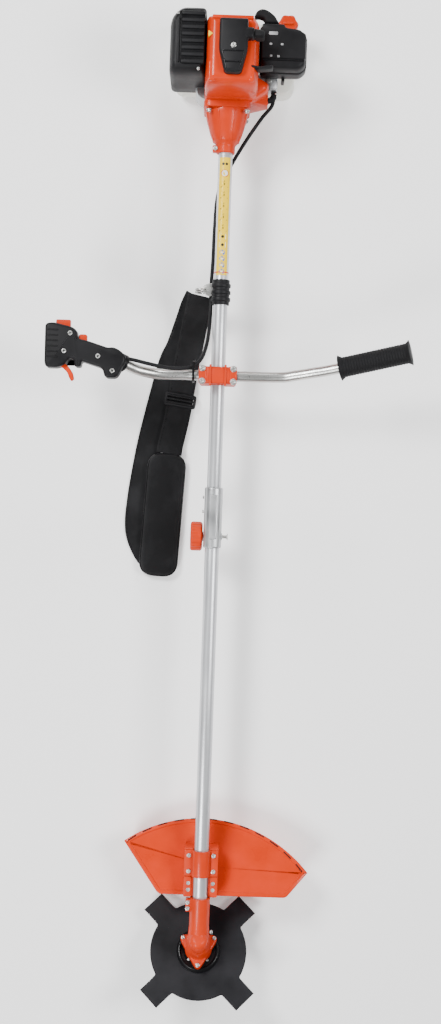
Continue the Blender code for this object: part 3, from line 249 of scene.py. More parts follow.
def curve_through(route, count):
    """Even steps along a Catmull-Rom curve through the given points."""
    given = np.array(route, float)
    ends = np.vstack([2 * given[0] - given[1], given, 2 * given[-1] - given[-2]])
    t = np.linspace(0, 1, 24, endpoint=False)[:, None]
    fine = [0.5 * (2 * b + (c - a) * t + (2 * a - 5 * b + 4 * c - d) * t ** 2
                   + (3 * b - a - 3 * c + d) * t ** 3)
            for a, b, c, d in zip(ends[:-3], ends[1:-2], ends[2:-1], ends[3:])]
    fine = np.vstack(fine + [given[-1:]])
    run = np.concatenate([[0], np.cumsum(np.linalg.norm(np.diff(fine, axis=0), axis=1))])
    wanted = np.linspace(0, run[-1], count)
    return np.column_stack([np.interp(wanted, run, fine[:, k]) for k in range(3)])


def frames_along(path):
    """Tangent, side and up at each point, the side kept level with the floor."""
    tangent = np.gradient(path, axis=0)
    tangent /= np.linalg.norm(tangent, axis=1, keepdims=True)
    side = np.cross(Z_AXIS, tangent)
    side /= np.maximum(np.linalg.norm(side, axis=1, keepdims=True), 1e-9)
    return tangent, side, np.cross(tangent, side)


def sweep(name, path, section, look, body, scale=None):
    """A closed (side, up) section carried along a path, row by row."""
    _, side, up = frames_along(path)
    section = np.asarray(section, float)
    size = np.ones(len(path)) if scale is None else scale
    grid = (path[:, None] + side[:, None] * section[None, :, :1] * size[:, None, None]
            + up[:, None] * section[None, :, 1:] * size[:, None, None])
    return surface(name, grid, look, body)


def circle(radius, sides=20):
    """A round section."""
    angle = np.linspace(0, 2 * math.pi, sides, endpoint=False)
    return np.column_stack([radius * np.cos(angle), radius * np.sin(angle)])


def refined(node, look, body, bevel=1.5 * MM, segments=3, name=None, angle=30):
    """A CAD solid's merged copy with soft edges, standing for the node."""
    mesh = frame["nodes"][node].data.copy()
    obj = finished(name or node + "_finish", mesh, look, body, angle)
    bm = bmesh.new()
    bm.from_mesh(obj.data)
    bmesh.ops.dissolve_limit(bm, angle_limit=math.radians(2), verts=bm.verts, edges=bm.edges)
    bm.to_mesh(obj.data)
    bm.free()
    if bevel:
        soft = obj.modifiers.new("Soft edges", "BEVEL")
        soft.width = bevel
        soft.segments = segments
        soft.limit_method = "ANGLE"
        soft.angle_limit = math.radians(38)
        soft.harden_normals = False
    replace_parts(obj, node)
    return obj


def hex_bolt(name, at, axis, body, across=8 * MM, look="zinc", washer=True):
    """A flanged screw head: washer ring, six-sided head and a round recess."""
    r = across / 2
    made = []
    if washer:
        made.append(lathe(name + "_washer", [(0, 0), (r * 1.35, 0), (r * 1.35, 1.1 * MM),
                                             (0, 1.1 * MM)], at, axis, look, body, 0.3 * MM, 32))
    head = [(0, 1 * MM), (r, 1 * MM), (r, 0.9 * r + MM), (r * 0.62, 0.9 * r + 1.1 * MM),
            (r * 0.55, 0.45 * r + MM), (0, 0.45 * r + MM)]
    made.append(lathe(name, head, at, axis, look, body, 0.4 * MM, 24,
                      lambda a, h: 1 - 0.05 * np.cos(6 * a)))
    return made


# ------------------------------------------------------------------- node groups
def group_tree(name, inputs, outputs):
    """A shader node group with float inputs and outputs, and its end nodes."""
    tree = bpy.data.node_groups.new(name, "ShaderNodeTree")
    for label, value in inputs:
        socket = tree.interface.new_socket(label, in_out="INPUT", socket_type="NodeSocketFloat")
        socket.default_value = value
    for label in outputs:
        tree.interface.new_socket(label, in_out="OUTPUT", socket_type="NodeSocketFloat")
    return tree, tree.nodes.new("NodeGroupInput"), tree.nodes.new("NodeGroupOutput")


def math_node(tree, operation, a, b=None):
    """A Math node; each operand is a socket or a number."""
    node = tree.nodes.new("ShaderNodeMath")
    node.operation = operation
    for slot, value in enumerate((a, b)):
        if isinstance(value, (int, float)):
            node.inputs[slot].default_value = value
        elif value is not None:
            tree.links.new(value, node.inputs[slot])
    return node.outputs[0]


def noise(tree, vector, scale, detail=3.0, rough=0.55):
    """A Noise texture's value at a scale."""
    node = tree.nodes.new("ShaderNodeTexNoise")
    node.inputs["Detail"].default_value = detail
    node.inputs["Roughness"].default_value = rough
    tree.links.new(vector, node.inputs["Vector"])
    if isinstance(scale, (int, float)):
        node.inputs["Scale"].default_value = scale
    else:
        tree.links.new(scale, node.inputs["Scale"])
    return node.outputs["Fac"]


def make_grain_group():
    """Moulded or cast grain: a fine bump height and a broad blotch mask."""
    tree, start, end = group_tree("Surface Grain", [("Fine", 900.0), ("Broad", 18.0)],
                                  ["Height", "Blotch"])
    place = tree.nodes.new("ShaderNodeTexCoord").outputs["Object"]
    tree.links.new(noise(tree, place, start.outputs["Fine"], 2.0), end.inputs["Height"])
    tree.links.new(noise(tree, place, start.outputs["Broad"], 4.0), end.inputs["Blotch"])
    return tree


def make_dust_group():
    """Dust: more on faces that look up, broken up by noise."""
    tree, start, end = group_tree("Settled Dust", [("Amount", 0.3), ("Scale", 60.0)], ["Mask"])
    facing = tree.nodes.new("ShaderNodeNewGeometry").outputs["Normal"]
    split = tree.nodes.new("ShaderNodeSeparateXYZ")
    tree.links.new(facing, split.inputs[0])
    up = math_node(tree, "MAXIMUM", split.outputs["Z"], 0.0)
    place = tree.nodes.new("ShaderNodeTexCoord").outputs["Object"]
    spots = math_node(tree, "POWER", noise(tree, place, start.outputs["Scale"], 6.0, 0.7), 3.0)
    mask = math_node(tree, "MULTIPLY", math_node(tree, "MULTIPLY", up, spots),
                     start.outputs["Amount"])
    tree.links.new(mask, end.inputs["Mask"])
    return tree


def make_weave_group():
    """Webbing: crossing sine waves on the piece's own UV map, thread by thread; a bump height, and a
    painted shade that is darker where the weave is low.
    """
    tree, start, end = group_tree("Webbing Weave", [("Across", 26.0), ("Along", 260.0)],
                                  ["Height", "Painted Shade"])
    uv = tree.nodes.new("ShaderNodeUVMap").outputs[0]
    split = tree.nodes.new("ShaderNodeSeparateXYZ")
    tree.links.new(uv, split.inputs[0])
    turn = 2 * math.pi
    u = math_node(tree, "MULTIPLY", split.outputs["X"],
                  math_node(tree, "MULTIPLY", start.outputs["Across"], turn))
    v = math_node(tree, "MULTIPLY", split.outputs["Y"],
                  math_node(tree, "MULTIPLY", start.outputs["Along"], turn))
    rib = math_node(tree, "SINE", u)
    weft = math_node(tree, "SINE", math_node(tree, "ADD", v, math_node(tree, "MULTIPLY", rib, 1.2)))
    height = math_node(tree, "ADD", math_node(tree, "MULTIPLY", rib, 0.6), weft)
    tree.links.new(math_node(tree, "MULTIPLY", height, 0.5), end.inputs["Height"])
    # Painted shade: the brightness follows the weave height, so the low parts of the weave come out
    # darker.
    tree.links.new(math_node(tree, "ADD", math_node(tree, "MULTIPLY", height, 0.25), 0.5),
                   end.inputs["Painted Shade"])
    return tree


# --------------------------------------------------------------------- materials
MATERIALS = {}
GROUPS = {}


class Paint:
    """A material being built: Principled shader, groups and colour mixing."""

    def __init__(self, name, rough, metallic=0.0):
        self.made = bpy.data.materials.new(name)
        self.made.use_nodes = True
        self.tree = self.made.node_tree
        self.shader = self.tree.nodes["Principled BSDF"]
        self.shader.inputs["Metallic"].default_value = metallic
        self.shader.inputs["Roughness"].default_value = rough

    def group(self, name, **values):
        """One of the shared groups, with its inputs set."""
        node = self.tree.nodes.new("ShaderNodeGroup")
        node.node_tree = GROUPS[name]
        for label, value in values.items():
            node.inputs[label].default_value = value
        return node

    def mix(self, mask, first, second):
        """Colour between two by a mask; each is a socket or an RGB."""
        node = self.tree.nodes.new("ShaderNodeMix")
        node.data_type = "RGBA"
        node.clamp_factor = True
        self.tree.links.new(mask, node.inputs[0])
        for slot, value in ((6, first), (7, second)):
            if isinstance(value, tuple):
                node.inputs[slot].default_value = (*value, 1)
            else:
                self.tree.links.new(value, node.inputs[slot])
        return node.outputs[2]

    def ramp(self, value, low, high, to_low=0.0, to_high=1.0):
        """Map Range from one span to another, clamped."""
        node = self.tree.nodes.new("ShaderNodeMapRange")
        self.tree.links.new(value, node.inputs[0])
        for slot, number in enumerate((low, high, to_low, to_high), start=1):
            node.inputs[slot].default_value = number
        return node.outputs[0]

    def bump(self, height, strength, distance=0.0002):
        """A height read as relief on the shader's normal."""
        node = self.tree.nodes.new("ShaderNodeBump")
        node.inputs["Strength"].default_value = strength
        node.inputs["Distance"].default_value = distance
        self.tree.links.new(height, node.inputs["Height"])
        self.tree.links.new(node.outputs[0], self.shader.inputs["Normal"])

    def to(self, value, label):
        """Links a value to one of the shader's sockets."""
        self.tree.links.new(value, self.shader.inputs[label])


def solid_paint(name, slot, colour, rough, metallic=0.0, fine=900.0, grain=0.15, blotch=0.12,
                dust=0.25, coat=0.0, dust_colour=(0.45, 0.42, 0.38), spread=0.12,
                shine=0.16):
    """A moulded, painted or cast finish: blotched colour, grain bump, dust."""
    paint = Paint(name, rough, metallic)
    surface_grain = paint.group("Surface Grain", Fine=fine)
    broad = paint.ramp(surface_grain.outputs["Blotch"], 0.3, 0.7)
    dark = tuple(c * (1 - blotch) for c in colour)
    light = tuple(min(1.0, c * (1 + blotch)) for c in colour)
    base = paint.mix(broad, dark, light)
    settled = paint.group("Settled Dust", Amount=dust).outputs["Mask"]
    paint.to(paint.mix(settled, base, dust_colour), "Base Color")
    low, high = max(0.05, rough - spread), min(1.0, rough + spread)
    paint.to(paint.ramp(surface_grain.outputs["Blotch"], 0.25, 0.75, low, high), "Roughness")
    paint.shader.inputs["Coat Weight"].default_value = coat
    paint.shader.inputs["Specular IOR Level"].default_value = shine
    paint.shader.inputs["Coat Roughness"].default_value = 0.12
    paint.bump(surface_grain.outputs["Height"], grain)
    MATERIALS[name] = (paint.made, slot)
    return paint


def brushed(name, slot, colour, rough, stretch=(1, 1, 1)):
    """Metal with fine lines: noise on coordinates stretched along the lay."""
    paint = Paint(name, rough, 1.0)
    mapping = paint.tree.nodes.new("ShaderNodeMapping")
    mapping.inputs["Scale"].default_value = stretch
    place = paint.tree.nodes.new("ShaderNodeTexCoord").outputs["Object"]
    paint.tree.links.new(place, mapping.inputs["Vector"])
    lines = noise(paint.tree, mapping.outputs[0], 500.0, 4.0)
    blotch = paint.group("Surface Grain", Fine=700.0).outputs["Blotch"]
    dark = tuple(c * 0.72 for c in colour)
    paint.to(paint.mix(paint.ramp(blotch, 0.3, 0.7), dark, colour), "Base Color")
    paint.to(paint.ramp(lines, 0.2, 0.8, max(0.08, rough - 0.12), rough + 0.15), "Roughness")
    paint.bump(lines, 0.15, 0.0001)
    MATERIALS[name] = (paint.made, slot)
    return paint


def cloth(name, slot, colour, across, along, sheen=0.05):
    """Woven webbing or mesh on the piece's UV map, with painted shade in the low parts of the weave,
    lint and fade.
    """
    paint = Paint(name, 0.85)
    weave = paint.group("Webbing Weave", Across=across, Along=along)
    dark = tuple(c * 0.45 for c in colour)
    # Painted shade: the colour falls to 0.45 of itself where the weave is low.
    weave_colour_with_painted_shade = paint.mix(weave.outputs["Painted Shade"], dark, colour)
    blotch = paint.group("Surface Grain", Fine=1500.0)
    faded = tuple(min(1.0, c * 1.6 + 0.002) for c in colour)
    paint.to(paint.mix(paint.ramp(blotch.outputs["Blotch"], 0.45, 0.85), weave_colour_with_painted_shade, faded),
             "Base Color")
    paint.shader.inputs["Sheen Weight"].default_value = sheen
    paint.shader.inputs["Specular IOR Level"].default_value = 0.1
    paint.shader.inputs["Sheen Roughness"].default_value = 0.6
    paint.bump(weave.outputs["Height"], 0.6, 0.0004)
    MATERIALS[name] = (paint.made, slot)


def tank_plastic():
    """Milky translucent tank wall."""
    paint = solid_paint("tank_milk", "translucent_white", (0.74, 0.74, 0.68), 0.38, fine=700.0,
                        grain=0.12, blotch=0.06, dust=0.15)
    paint.shader.inputs["Subsurface Weight"].default_value = 0.25
    paint.shader.inputs["Subsurface Radius"].default_value = (0.01, 0.009, 0.007)
    paint.shader.inputs["Subsurface Scale"].default_value = 0.5


def boom_finish():
    """Satin silver tube paint with faint lengthways lines and rubbed patches."""
    paint = Paint("boom_silver", 0.34, 0.55)
    mapping = paint.tree.nodes.new("ShaderNodeMapping")
    mapping.inputs["Scale"].default_value = (1.0, 0.02, 1.0)
    place = paint.tree.nodes.new("ShaderNodeTexCoord").outputs["Object"]
    paint.tree.links.new(place, mapping.inputs["Vector"])
    lines = noise(paint.tree, mapping.outputs[0], 420.0, 5.0)
    blotch = paint.group("Surface Grain", Fine=1400.0, Broad=9.0)
    base = paint.mix(paint.ramp(blotch.outputs["Blotch"], 0.3, 0.7), (0.50, 0.51, 0.53),
                     (0.60, 0.61, 0.63))
    settled = paint.group("Settled Dust", Amount=0.2).outputs["Mask"]
    paint.to(paint.mix(settled, base, (0.5, 0.47, 0.42)), "Base Color")
    paint.to(paint.ramp(lines, 0.25, 0.75, 0.26, 0.44), "Roughness")
    paint.shader.inputs["Coat Weight"].default_value = 0.25
    paint.bump(lines, 0.05, 0.0001)
    MATERIALS["boom_silver"] = (paint.made, "boom_paint")


def make_materials(colours):
    """Every finish, by its maker's name."""
    GROUPS["Surface Grain"] = make_grain_group()
    GROUPS["Settled Dust"] = make_dust_group()
    GROUPS["Webbing Weave"] = make_weave_group()
    orange, black = tuple(colours.orange), tuple(colours.black)
    solid_paint("orange_gloss", "orange_plastic", orange, 0.34, fine=1100.0, grain=0.10,
                blotch=0.07, dust=0.008, coat=0.14)
    solid_paint("orange_cast", "orange_plastic", tuple(c * 0.95 for c in orange), 0.42,
                fine=650.0, grain=0.28, blotch=0.10, dust=0.012, coat=0.1)
    solid_paint("black_moulded", "black_plastic", black, 0.46, fine=1500.0, grain=0.30,
                blotch=0.25, dust=0.008)
    solid_paint("black_gloss", "black_plastic", tuple(c * 0.8 for c in black), 0.24, fine=900.0,
                grain=0.06, blotch=0.2, dust=0.008, coat=0.2)
    solid_paint("black_rubber", "rubber", tuple(c * 0.9 for c in black), 0.66, fine=1800.0,
                grain=0.35, blotch=0.2, dust=0.01)
    solid_paint("blade_paint", "blade_black", (0.010, 0.010, 0.012), 0.38, 0.0, fine=800.0,
                grain=0.22, blotch=0.3, dust=0.008)
    solid_paint("alloy", "cast_aluminium", (0.46, 0.47, 0.48), 0.42, 0.9, fine=520.0,
                grain=0.35, blotch=0.14, dust=0.2)
    solid_paint("label_yellow", "boom_paint", (0.85, 0.58, 0.008), 0.4, fine=400.0, grain=0.03,
                blotch=0.05, dust=0.04, coat=0.1)
    solid_paint("label_black", "black_plastic", (0.012, 0.012, 0.012), 0.4, grain=0.02)
    solid_paint("label_blue", "black_plastic", (0.02, 0.13, 0.5), 0.4, grain=0.02)
    solid_paint("label_red", "orange_plastic", (0.6, 0.02, 0.015), 0.4, grain=0.02)
    solid_paint("label_white", "translucent_white", (0.8, 0.8, 0.78), 0.4, grain=0.02)
    brushed("zinc", "steel", (0.66, 0.66, 0.64), 0.32)
    brushed("bright_edge", "steel", (0.62, 0.62, 0.62), 0.3, (1, 1, 0.05))
    boom_finish()
    tank_plastic()
    cloth("webbing_black", "webbing", (0.012, 0.012, 0.013), 24.0, 420.0, 0.04)
    cloth("pad_mesh", "webbing", (0.010, 0.010, 0.011), 60.0, 200.0, 0.05)


NODE_LOOKS = {
    "steel": "zinc", "cast_aluminium": "alloy", "boom_paint": "boom_silver",
    "black_plastic": "black_moulded", "orange_plastic": "orange_gloss",
    "translucent_white": "tank_milk", "blade_black": "blade_paint", "rubber": "black_rubber",
    "webbing": "webbing_black",
}


def dress_cad_nodes():
    """Gives every CAD node the finish of its slot in the record."""
    slots = {part["node"]: part.get("material_slot", part["node"])
             for part in frame["record"]["subparts"]}
    for name, node in frame["nodes"].items():
        look = NODE_LOOKS.get(slots.get(name), "black_moulded")
        node.data.materials.clear()
        node.data.materials.append(MATERIALS[look][0])


# ---------------------------------------------------------------------- boom
COLLAR_END_Y = -181 * MM
COUPLER_TOP_Y = -790 * MM
COUPLER_LOW_Y = -900 * MM
SPLIT_Y = -823 * MM
GEAR_SOCKET_Y = -1538.5 * MM
PIN_Y = -879 * MM
KNOB = (-40.5 * MM, -18.5 * MM, -879.7 * MM, BOOM_Z - 22.5 * MM, 27 * MM)


def boom_at(y, x=0.0, z=0.0):
    """A point beside the boom's axis."""
    return np.array((x, y, BOOM_Z + z))


def build_boom():
    """Both tubes, 64-sided, with their open ends inside the fittings."""
    spans = (("upper_boom_tube", "machine", SPLIT_Y + GAP, COLLAR_END_Y + 25 * MM),
             ("lower_boom_tube", "lower_boom", GEAR_SOCKET_Y - 30 * MM, SPLIT_Y - GAP))
    for node, body, low, high in spans:
        tube = pipe(node + "_finish", BOOM_R, BOOM_R - 1.5 * MM, boom_at(low), Y_AXIS,
                    high - low, "boom_silver", body, 64)
        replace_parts(tube, node)


def wrap(name, y0, y1, half_angle, lift, look, body, rows=24):
    """A label patch: a sheet bent round the tube, centred on its top."""
    across = np.linspace(-half_angle, half_angle, rows)
    y = np.linspace(y0, y1, 30)
    radius = BOOM_R + lift
    outer = np.stack([np.broadcast_to(radius * np.sin(across), (30, rows)),
                      np.broadcast_to(y[:, None], (30, rows)),
                      BOOM_Z + np.broadcast_to(radius * np.cos(across), (30, rows))], axis=-1)
    shrink = (radius - lift * 0.9) / radius
    inner = outer.copy()
    inner[..., 0] *= shrink
    inner[..., 2] = BOOM_Z + (inner[..., 2] - BOOM_Z) * shrink
    ring = np.concatenate([outer, inner[:, ::-1]], axis=1)
    return surface(name, ring, look, body)


def on_label(points, lift):
    """Flat (across, along) marks wrapped on the tube at a lift."""
    radius = BOOM_R + lift
    angle = points[:, 0] / BOOM_R
    return np.column_stack([radius * np.sin(angle), points[:, 1],
                            BOOM_Z + radius * np.cos(angle)])


def mark(name, outline, lift, look, body="machine"):
    """A pictogram shape: an outline on the label, a tenth of a millimetre thick."""
    low = on_label(outline, lift - 0.12 * MM)
    high = on_label(outline, lift)
    return surface(name, np.stack([low, high]), look, body)


def disc_outline(x, y, radius, sides=28):
    """A circle about (x, y)."""
    angle = np.linspace(0, 2 * math.pi, sides, endpoint=False)
    return np.column_stack([x + radius * np.cos(angle), y + radius * np.sin(angle)])


def triangle_outline(x, y, size):
    """A triangle about (x, y), pointing to +y, with eased corners."""
    return fillet([(x - size, y - 0.8 * size), (x + size, y - 0.8 * size), (x, y + size)],
                  0.25 * size, 3)


def build_label():
    """Yellow strip of plain warning-free pictograms: rings, triangles and dots."""
    wrap("safety_label", -404 * MM, -190 * MM, 0.82, 0.22 * MM, "label_yellow", "machine")
    y = -202 * MM
    for i in range(2):
        mark(f"label_dot_{i}", disc_outline(-3 * MM + 6 * MM * i, y, 2.4 * MM), 0.36 * MM,
             "label_black")
    y -= 17 * MM
    mark("label_ring_red", disc_outline(0, y, 7 * MM), 0.36 * MM, "label_red")
    mark("label_ring_white", disc_outline(0, y, 5.4 * MM), 0.5 * MM, "label_white")
    mark("label_ring_bar", fillet([(-5 * MM, y + 4 * MM), (-4 * MM, y + 5 * MM),
                                   (5 * MM, y - 4 * MM), (4 * MM, y - 5 * MM)], 0.2 * MM, 2),
         0.64 * MM, "label_red")
    for i in range(5):
        y -= 20 * MM
        mark(f"label_triangle_{i}", triangle_outline(0, y, 7.4 * MM), 0.36 * MM, "label_black")
        mark(f"label_field_{i}", triangle_outline(0, y, 5.6 * MM), 0.5 * MM, "label_yellow")
        mark(f"label_bar_{i}", rectangle((-0.7 * MM, 0.7 * MM), (y - 1.6 * MM, y + 2.6 * MM),
                                         0.5 * MM), 0.64 * MM, "label_black")
    for i in range(2):
        y -= 15 * MM
        mark(f"label_plate_{i}", rectangle((-6 * MM, 6 * MM), (y - 5 * MM, y + 5 * MM), MM),
             0.36 * MM, "label_white")
        mark(f"label_figure_{i}", disc_outline(0, y, 2.6 * MM), 0.5 * MM, "label_black")
    for i in range(4):
        y -= 11.5 * MM if i else 14 * MM
        mark(f"label_blue_{i}", disc_outline(0, y, 4.9 * MM), 0.36 * MM, "label_blue")
        mark(f"label_eye_{i}", rectangle((-2 * MM, 2 * MM), (y - 1.2 * MM, y + 1.4 * MM),
                                         0.8 * MM), 0.5 * MM, "label_white")
    pipe("label_red_ring", BOOM_R + 0.35 * MM, BOOM_R + 0.05 * MM, boom_at(-399.5 * MM), Y_AXIS,
         2 * MM, "label_red", "machine", 48, 0.05 * MM)


def build_coupler():
    """Cast split sleeve with a raised plate, its ribbed clamp knob and pull pin."""
    sleeve = lathe("coupler_finish", [(BOOM_R + GAP, 0), (15.6 * MM, 0), (16.5 * MM, 2 * MM),
                                      (16.5 * MM, 108 * MM), (15.6 * MM, 110 * MM),
                                      (BOOM_R + GAP, 110 * MM)],
                   boom_at(COUPLER_LOW_Y), Y_AXIS, "alloy", "machine", 0.8 * MM)
    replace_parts(sleeve, "coupler_body")
    top = basis((0, 0, BOOM_Z), Z_AXIS, Y_AXIS)
    plate_y = (COUPLER_LOW_Y + 16 * MM, COUPLER_TOP_Y - 13 * MM)
    slab("coupler_plate", rectangle((-7.5 * MM, 8 * MM), plate_y, 4 * MM), 10 * MM, 18.8 * MM,
         "alloy", "machine", edge=1 * MM, top=2.2 * MM, place=top)
    slab("coupler_plate_inset", rectangle((-4 * MM, 4.6 * MM),
                                          (plate_y[0] + 8 * MM, plate_y[1] - 8 * MM), 3 * MM),
         18 * MM, 19 * MM, "alloy", "machine", edge=0.1 * MM, top=0.4 * MM, place=top)
    for side in (-1, 1):
        slab(f"coupler_lug_{side + 1}", rectangle((side * 7.5 * MM - 6 * MM,
                                                   side * 7.5 * MM + 6 * MM),
                                                  (COUPLER_LOW_Y + 4 * MM,
                                                   COUPLER_LOW_Y + 46 * MM), 3 * MM),
             -31 * MM, -8 * MM, "alloy", "machine", edge=3 * MM, top=0.4 * MM, place=top)
    for i, y in enumerate((-808 * MM, -834 * MM)):
        hex_bolt(f"coupler_bolt_{i}", boom_at(y, -16.3 * MM, -2 * MM), -X_AXIS, "machine", 6 * MM,
                 washer=False)
    x0, x1, y, z, radius = KNOB
    axis_place = np.array((x0, y, z))
    width = x1 - x0
    knob = lathe("coupler_knob_finish",
                 [(0, 2 * MM), (radius * 0.62, 2 * MM), (radius * 0.7, 0), (radius * 0.9, 0),
                  (radius, 2.5 * MM), (radius, width - 3 * MM), (radius * 0.86, width),
                  (9 * MM, width), (9 * MM, width + 1.4 * MM), (0, width + 1.4 * MM)],
                 axis_place, X_AXIS, "orange_cast", "coupler_knob", 1.2 * MM, 144,
                 lambda a, h: 1 - 0.035 * (0.5 + 0.5 * np.cos(18 * a)) ** 2 * (h >= 0))
    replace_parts(knob, "coupler_knob")
    rod("coupler_knob_stem", 3.4 * MM, (x1, y, z), (8.5 * MM, y, z), "zinc", "coupler_knob")
    rod("coupler_knob_screw", 4.5 * MM, (x0 - 0.0 * MM, y, z), (x0 + 3.4 * MM, y, z), "zinc",
        "coupler_knob", 0.8 * MM)
    lathe("coupler_pin_boss", [(0, 10 * MM), (6 * MM, 10 * MM), (6 * MM, 17.6 * MM),
                               (3.4 * MM, 18 * MM), (3.4 * MM, 10 * MM)],
          boom_at(PIN_Y), X_AXIS, "alloy", "machine", 0.8 * MM, 40)
    pin = rod("coupler_lock_pin_finish", 3 * MM, boom_at(PIN_Y, 13.8 * MM),
              boom_at(PIN_Y, 26.5 * MM), "zinc", "coupler_lock_pin", 0.6 * MM)
    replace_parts(pin, "coupler_lock_pin")
    loop = np.linspace(0, 2 * math.pi, 40)
    path = boom_at(PIN_Y, 27 * MM) + np.column_stack([np.zeros(40), 5 * MM * np.cos(loop),
                                                      5 * MM * np.sin(loop)])
    ring_wire("coupler_pin_ring", path[:-1], 0.9 * MM, "zinc", "coupler_lock_pin")


def ring_wire(name, path, radius, look, body, sides=12):
    """A closed loop of wire: a circle carried round in the loop's own plane."""
    ahead = np.roll(path, -1, axis=0) - np.roll(path, 1, axis=0)
    ahead /= np.linalg.norm(ahead, axis=1, keepdims=True)
    middle = path.mean(axis=0)
    normal = np.cross(path[0] - middle, path[len(path) // 4] - middle)
    normal /= np.linalg.norm(normal)
    out = np.cross(ahead, normal)
    angle = np.linspace(0, 2 * math.pi, sides, endpoint=False)[None, :, None]
    grid = path[:, None] + radius * (np.cos(angle) * out[:, None] + np.sin(angle) * normal)
    return surface(name, grid, look, body, close_v=True, caps=False)


# ------------------------------------------------------------------ cutting head
def build_gear_case():
    """Cast angled case: socket tube, rounded elbow, output bell and screws."""
    t = np.linspace(0, 1, 14)[:, None]
    start, bend = boom_at(GEAR_SOCKET_Y), APEX + Y_AXIS * 26 * MM
    finish = APEX + OUTPUT * 14 * MM
    straight = start + (bend - start) * np.linspace(0, 1, 8)[:-1, None]
    turn = (1 - t) ** 2 * bend + 2 * t * (1 - t) * APEX + t ** 2 * finish
    path = np.vstack([straight, turn])
    tangent = np.gradient(path, axis=0)
    tangent /= np.linalg.norm(tangent, axis=1, keepdims=True)
    side = np.broadcast_to(X_AXIS, path.shape)
    up = np.cross(tangent, side)
    run = np.concatenate([[0], np.cumsum(np.linalg.norm(np.diff(path, axis=0), axis=1))])
    size = np.interp(run, [0, 50 * MM, 78 * MM, 110 * MM], [18.5, 18.2, 20.5, 23]) * MM
    angle = np.linspace(0, 2 * math.pi, 56, endpoint=False)[None, :, None]
    grid = path[:, None] + size[:, None, None] * (np.cos(angle) * side[:, None]
                                                   + np.sin(angle) * up[:, None])
    body = surface("gear_case_finish", grid, "orange_cast", "lower_boom")
    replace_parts(body, "gear_case")
    lathe("gear_case_bell", [(0, 6 * MM), (20 * MM, 6 * MM), (23 * MM, 22 * MM),
                             (25 * MM, 39.5 * MM), (21 * MM, 39.5 * MM), (21 * MM, 30 * MM),
                             (0, 30 * MM)], APEX, OUTPUT, "orange_cast", "lower_boom", 3 * MM)
    lathe("gear_case_crown", [(0, 28 * MM), (11 * MM, 27.4 * MM), (16.5 * MM, 22 * MM),
                              (18.6 * MM, 12 * MM), (19 * MM, 0), (0, 0)],
          APEX, -OUTPUT + 0.15 * Y_AXIS, "orange_cast", "lower_boom", 4 * MM)
    place = np.column_stack([X_AXIS, np.cross(OUTPUT, X_AXIS), OUTPUT, APEX])
    angles = [math.radians(90 + 120 * i) for i in range(3)]
    corners = [(45 * MM * math.cos(a), 45 * MM * math.sin(a)) for a in angles]
    slab("gear_case_flange", shrunk(corners, 17 * MM, 0, 8), 23 * MM, 38 * MM, "orange_cast",
         "lower_boom", place, edge=2.2 * MM, top=1 * MM)
    for i, a in enumerate(angles):
        at = placed(np.array([[33 * MM * math.cos(a), 33 * MM * math.sin(a), 23 * MM]]), place)
        hex_bolt(f"gear_case_screw_{i}", at[0], -OUTPUT, "lower_boom", 5.6 * MM)
    lug = basis((-18 * MM, GEAR_SOCKET_Y - 13 * MM, BOOM_Z), -X_AXIS, Z_AXIS)
    for i, z in enumerate((-5.2 * MM, 5.2 * MM)):
        slab(f"gear_clamp_ear_{i}", rectangle((-11 * MM, 11 * MM), (z - 4 * MM, z + 4 * MM),
                                              2 * MM), -6 * MM, 8 * MM, "orange_cast",
             "lower_boom", lug, edge=0.5 * MM, top=2 * MM)
    for i, y in enumerate((-7 * MM, -18 * MM)):
        hex_bolt(f"gear_clamp_bolt_{i}", (-22 * MM, GEAR_SOCKET_Y + y, BOOM_Z + 9.0 * MM), Z_AXIS,
                 "lower_boom", 6 * MM)
    rod("gear_grease_screw", 4 * MM, boom_at(APEX[1] + 22 * MM, 20 * MM),
        boom_at(APEX[1] + 22 * MM, 25 * MM), "zinc", "lower_boom", 0.8 * MM)


def blade_profile():
    """Disc outline with four square teeth on the diagonals, corners eased."""
    half, disc_r, tip_r = 22.5 * MM, 89.5 * MM, 127.5 * MM
    root = math.asin(half / disc_r)
    points, radii = [], []
    for quarter in range(4):
        middle = math.radians(45 + 90 * quarter)
        out = np.array((math.cos(middle), math.sin(middle)))
        side = np.array((-out[1], out[0]))
        reach = math.sqrt(tip_r ** 2 - half ** 2)
        points += [out * reach - side * half, out * reach + side * half]
        radii += [1.2 * MM, 1.2 * MM]
        for step in range(17):
            angle = middle + root + (math.radians(90) - 2 * root) * step / 16
            points.append(np.array((math.cos(angle), math.sin(angle))) * disc_r)
            radii.append(6 * MM if step in (0, 16) else 0.5 * MM)
    return fillet(points, np.array(radii), 3)


